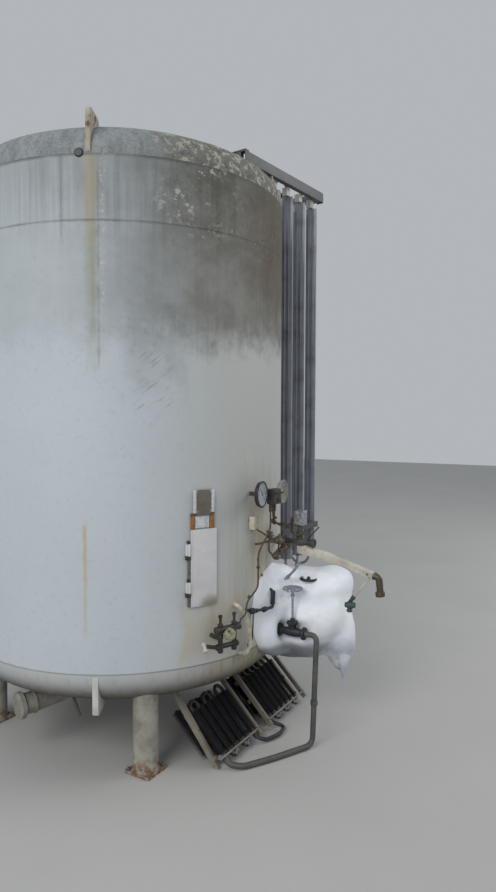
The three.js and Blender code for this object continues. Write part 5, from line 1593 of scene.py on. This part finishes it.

# Nameplate and its backing: a thin etched plate, left blank, riveted over two rusty strips.
# The strips are bare steel tacked to the jacket, and a folded edge of bright metal runs down each side; its
# shine is painted in as a pale matt colour.
SET_SIGNS = about_z(-27.3)
STRIP_FACE = -1.209
PLATE_FACE = -1.2143
etched_plate, tree, shader, place = new_finish("etched_plate", 0.45, 0.5)
height = split(tree, place)["Z"]
colour = mix(tree, speckle(tree, place, 24.0, 5.0), (130, 124, 114), (106, 101, 94))
dull = islands(tree, place, 0.03, 0.4, 0.2)
colour = stained(tree, colour, (150, 143, 130), dull, 0.6)
dressed(tree, shader, colour, dull, 0.0003)
# painted highlight: the edges and rivets are a pale matt colour that stands in for the shine of bright metal
painted_shine_edge = plain_finish("painted_shine_edge", (212, 214, 215), (188, 190, 191), 0.5)
mesh = bmesh.new()
block(mesh, (-0.0555, PLATE_FACE + 0.0008, 1.7005), (0.0555, STRIP_FACE - HAIR, 1.8665), 0.001)
for z in (1.745, 1.768, 1.791, 1.814, 1.837):
    block(mesh, (-0.046, PLATE_FACE + 0.0004, z - 0.0008), (0.046, PLATE_FACE + 0.001, z + 0.0008), 0.0002)
piece("nameplate_blank", mesh, etched_plate, node="nameplate", turn=SET_SIGNS)
mesh = bmesh.new()
for x in (-0.0665, 0.0665):
    block(mesh, (x - 0.0105, PLATE_FACE, 1.7172), (x + 0.0105, STRIP_FACE - 0.0004, 1.8668), 0.001)
for x in (-0.048, 0.048):
    for z in (1.727, 1.857):
        turned(mesh, mm((0, -0.2), (3.5, -0.2), (3, 0.7), (0, 1)), (x, PLATE_FACE + 0.001, z), OUT, 14)
piece("nameplate_edges", mesh, painted_shine_edge, turn=SET_SIGNS)

orange_rust, tree, shader, place = new_finish("orange_rust", 0.85)
colour = mix(tree, speckle(tree, place, 30.0, 6.0), (172, 120, 66), (126, 84, 50))
flakes = islands(tree, place, 0.012, 0.4, 0.1)
colour = mix(tree, flakes, colour, (92, 60, 42))
pale = islands(tree, place, 0.03, 0.3, 0.1)
colour = stained(tree, colour, (176, 168, 148), pale, 0.7)
height = split(tree, place)["Z"]
colour = mix(tree, step_up(tree, height, 1.692, 1.702, 0.0, 0.75), colour, (84, 66, 46))
dressed(tree, shader, colour, sum_up(tree, "ADD", flakes, speckle(tree, place, 200.0)), 0.0008)
mesh = bmesh.new()
for low, high in ((-0.093, -0.064), (0.047, 0.081)):
    block(mesh, (low, STRIP_FACE, 1.612), (high, -1.1995, 1.716), 0.0012)
block(mesh, (-0.064, STRIP_FACE, 1.702), (-0.056, -1.199, 1.716), 0.001)
block(mesh, (-0.056, STRIP_FACE, 1.7), (0.056, -1.199, 1.85), 0.001)
piece("sign_bracket_strips", mesh, orange_rust, node="sign_bracket", turn=SET_SIGNS)
label_card = plain_finish("label_card", (206, 212, 212), (178, 184, 184), 0.6, grain=40.0)
mesh = bmesh.new()
block(mesh, (-0.06, -1.2065, 1.618), (0.043, -1.1995, 1.698), 0.001)
for z in (1.64, 1.656, 1.672):
    block(mesh, (-0.05, -1.2072, z), (0.03, -1.2062, z + 0.002), 0.0002)
piece("small_label", mesh, label_card, turn=SET_SIGNS)

# Notice board: a pale composite panel, blank, hung on two painted lugs that stand out at its left.
# Water held behind its foot has stained the lower right corner brown.
board_paint, tree, shader, place = new_finish("board_paint", 0.5)
colour = mix(tree, speckle(tree, place, 11.0, 5.0), (218, 216, 217), (192, 190, 190))
parts = split(tree, place)
soaked = islands(tree, place, 0.045, 0.5, 0.2)
soaked = times(tree, soaked, fall_off(tree, parts["Z"], 1.15, 1.24))
colour = stained(tree, colour, (158, 150, 132), soaked, 0.55)
corner_stain = times(tree, fall_off(tree, parts["Z"], 1.12, 1.19), step_up(tree, parts["X"], -0.6, -0.53))
colour = stained(tree, colour, (128, 116, 88), corner_stain, 0.8)
dressed(tree, shader, colour, soaked, 0.0004)
mesh = bmesh.new()
block(mesh, (-0.095, PLATE_FACE + 0.0012, 1.108), (0.095, STRIP_FACE, 1.611), 0.0015)
for low, high in ((-0.095, -0.086), (0.086, 0.095)):
    block(mesh, (low, PLATE_FACE, 1.1082), (high, PLATE_FACE + 0.003, 1.6108), 0.001)
for z in (1.15, 1.53):
    block(mesh, (-0.08, STRIP_FACE - 0.002, z), (0.08, -1.1985, z + 0.04), 0.001)
piece("notice_board_panel", mesh, board_paint, node="notice_board", turn=SET_SIGNS)
mesh = bmesh.new()
for low, high in ((1.447, 1.519), (1.205, 1.27)):
    block(mesh, (-0.128, PLATE_FACE - 0.005, low), (-0.096, -1.197, high), 0.002)
    fitting(mesh, [(0.007, -0.003), (0.007, high - low + 0.003)], (-0.108, PLATE_FACE - 0.0045, low), UP, 18,
            0.001)
piece("notice_board_lugs", mesh, board_paint, turn=SET_SIGNS)
# painted shadow: the black blocks right under each lug stand for the shadows the lugs cast on the jacket; the
# small black blocks just above the lugs are hooks
mesh = bmesh.new()
for low, high in ((1.42, 1.447), (1.178, 1.205)):
    block(mesh, (-0.131, PLATE_FACE - 0.0035, low), (-0.096, -1.198, high - 0.0005), 0.002)
for z in (1.524, 1.275):
    block(mesh, (-0.118, STRIP_FACE, z), (-0.1, -1.1985, z + 0.018), 0.001)
piece("notice_board_hooks_and_lug_shadows", mesh, block_black, turn=SET_SIGNS)
hook_grey = plain_finish("hook_grey", (122, 121, 112), (92, 91, 84), 0.7)
mesh = bmesh.new()
for low, high in ((1.29, 1.42), (1.11, 1.178)):
    block(mesh, (-0.114, STRIP_FACE + 0.001, low), (-0.0955, -1.1985, high), 0.001)
piece("notice_board_hanger", mesh, hook_grey, turn=SET_SIGNS)

# Weld tacks: stubs left on the jacket where small brackets were cut away.
# Each is a flattened bead of weld metal, never painted, and now rusted brown.
tack_rust = plain_finish("tack_rust", (112, 102, 74), (78, 66, 46), 0.85, grain=90.0)
mesh = bmesh.new()
for arc, z, reach in ((0.000, 1.208, 0.011), (-0.165, 1.089, 0.013), (-0.145, 1.578, 0.014),
                      (-0.06, 1.33, 0.007)):
    out = Vector((sin(arc / 1.2), -cos(arc / 1.2), 0))
    turned(mesh, eased([(0, -0.004), (reach, -0.004), (reach * 0.9, 0.004), (reach * 0.5, 0.007), (0, 0.006)],
                       0.002, 2), out * 1.2 + Vector((0, 0, z)), out, 16)
furred(mesh, 0.0012)
piece("weld_tacks", mesh, tack_rust)

# Ice: moist air freezes on the cold draw pipework until the whole corner is one smooth white lump.
# It melts and refreezes each day, so it has grown in rounded swells that end below in a drip.
ICE_GRAIN = 0.012
# the middle and the half sizes of each swell
LOBES = [((0.094, -1.135, 0.957), (0.276, 0.1, 0.357)), ((0.316, -1.226, 0.754), (0.361, 0.1, 0.198)),
         ((0.521, -1.276, 0.907), (0.315, 0.387, 0.259)), ((0.449, -1.389, 0.785), (0.285, 0.219, 0.265)),
         ((0.508, -1.6, 0.69), (0.105, 0.116, 0.267)), ((0.536, -1.483, 1.051), (0.307, 0.171, 0.139)),
         ((0.364, -1.212, 0.82), (0.127, 0.361, 0.315)), ((0.263, -1.216, 1.089), (0.153, 0.093, 0.15)),
         ((0.27, -1.205, 0.985), (0.22, 0.12, 0.205)), ((0.29, -1.215, 0.8), (0.25, 0.11, 0.19)),
         ((0.45, -1.33, 1.01), (0.23, 0.19, 0.17)), ((0.366, -1.503, 0.878), (0.165, 0.165, 0.178))]


def loose(name, mesh):
    """A working object, for the shapes that go into the ice."""
    data = bpy.data.meshes.new(name)
    mesh.to_mesh(data)
    mesh.free()
    thing = bpy.data.objects.new(name, data)
    bpy.context.scene.collection.objects.link(thing)
    return thing


def take_away(lump, cutter):
    """Cuts one working object out of another."""
    cut = lump.modifiers.new("cut", "BOOLEAN")
    cut.operation = "DIFFERENCE"
    cut.solver = "EXACT"
    cut.object = cutter


def evaluated(thing):
    """The working object's mesh after its modifiers, as a bmesh; the object goes."""
    view = bpy.context.evaluated_depsgraph_get()
    view.update()
    mesh = bmesh.new()
    mesh.from_object(thing, view)
    bpy.data.objects.remove(thing)
    return mesh


mesh = bmesh.new()
for centre, radii in LOBES:
    part = bmesh.new()
    bmesh.ops.create_uvsphere(part, u_segments=48, v_segments=24, radius=1)
    add_part(mesh, part, Matrix.Translation(centre) @ Matrix.Diagonal((*[r + 0.004 for r in radii], 1)))
# the drip that hangs lowest, at the outer corner
turned(mesh, mm((0, 395), (6, 402), (16, 430), (34, 480), (60, 560), (70, 640), (0, 700)), (0.5, -1.64, 0),
       UP, 24)
lump = loose("ice_swells", mesh)


def round_the_valve(name, profile, axis):
    """A solid the valve needs clear, turned about its spindle or its bore."""
    solid = bmesh.new()
    turned(solid, profile, *axis, 40)
    return loose(name, solid)


spindle, bore = ((VALVE.x, VALVE.y, 0), UP), ((VALVE.x, 0, VALVE.z), OUT)
melted = [round_the_valve("round_the_wheel", mm((0, 1010), (104, 1010), (104, 1185), (0, 1185)), spindle),
          round_the_valve("round_the_body", mm((0, 1240), (68, 1240), (78, 1500), (0, 1500)), bore)]
for turn in range(2):
    remesh = lump.modifiers.new("grow_together", "REMESH")
    remesh.mode = "VOXEL"
    remesh.voxel_size = ICE_GRAIN
    for cutter in melted if turn == 0 else ():
        take_away(lump, cutter)
smooth = lump.modifiers.new("melt", "SMOOTH")
smooth.factor = 0.9
smooth.iterations = 42
mesh = evaluated(lump)
for cutter in melted:
    bpy.data.objects.remove(cutter)
mesh.normal_update()
for corner in mesh.verts:
    swell = noise.noise(corner.co * 5.5) * 0.008 + noise.noise(corner.co * 16 + Vector((3, 1, 7))) * 0.003
    corner.co += corner.normal * (swell + 0.003)
lump = loose("ice_swells", mesh)
wheel_room = round_the_valve("wheel_room", mm((0, 1020), (92, 1020), (92, 1160), (0, 1160)), spindle)
stem_room = round_the_valve("stem_room", mm((0, 855), (26, 855), (26, 1030), (0, 1030)), spindle)
inside = bmesh.new()
turned(inside, [(0, 0.6), (1.1995, 0.6), (1.1995, 1.6), (0, 1.6)], (0, 0, 0), UP, 128)
for cutter in (wheel_room, stem_room, loose("jacket_inside", inside)):
    take_away(lump, cutter)
    mesh = evaluated(lump)
    bpy.data.objects.remove(cutter)
    lump = loose("ice_swells", mesh)
mesh = bmesh.new()
mesh.from_mesh(lump.data)
bpy.data.objects.remove(lump)
# the pointed drip below the corner, and the smaller ones beside it
for at, low, wide in (((0.466, -1.64), 0.374, 0.058), ((0.3, -1.335), 0.575, 0.024),
                      ((0.075, -1.262), 0.59, 0.018)):
    deep = (0.56 if wide > 0.05 else low + 0.11) - low
    turned(mesh, [(0, 0), (wide * 0.07, deep * 0.03), (wide * 0.22, deep * 0.28), (wide * 0.55, deep * 0.62),
                  (wide, deep), (wide * 0.8, deep + 0.05), (0, deep + 0.09)], (*at, low), UP, 20)
piece("ice_swells_lump", mesh, ice_white, node="ice_mass", crease=60)

# Buried wheel: the second draw valve is inside the ice, and only its handwheel shows at the top.
# It is cast iron like the other, frozen in, and dark where the rime has come off.
mesh = bmesh.new()
BURIED = Vector((0.303, -1.428, 1.146))
wheel_rim(mesh, BURIED, 0.058, 0.0085)
for k in range(5):
    turn = 2 * pi * k / 5 + 0.3
    out = Vector((cos(turn), sin(turn), 0))
    spoke = [BURIED + out * reach - Vector((0, 0, drop))
             for reach, drop in ((0.01, 0.014), (0.035, 0.01), (0.056, 0.0))]
    swept(mesh, spoke, 0.006, 10)
fitting(mesh, mm((11, -130), (11, -30), (19, -26), (19, -2), (10, 4), (10, 16)), BURIED, UP, 20)
furred(mesh, 0.001)
piece("buried_wheel", mesh, cold_steel)
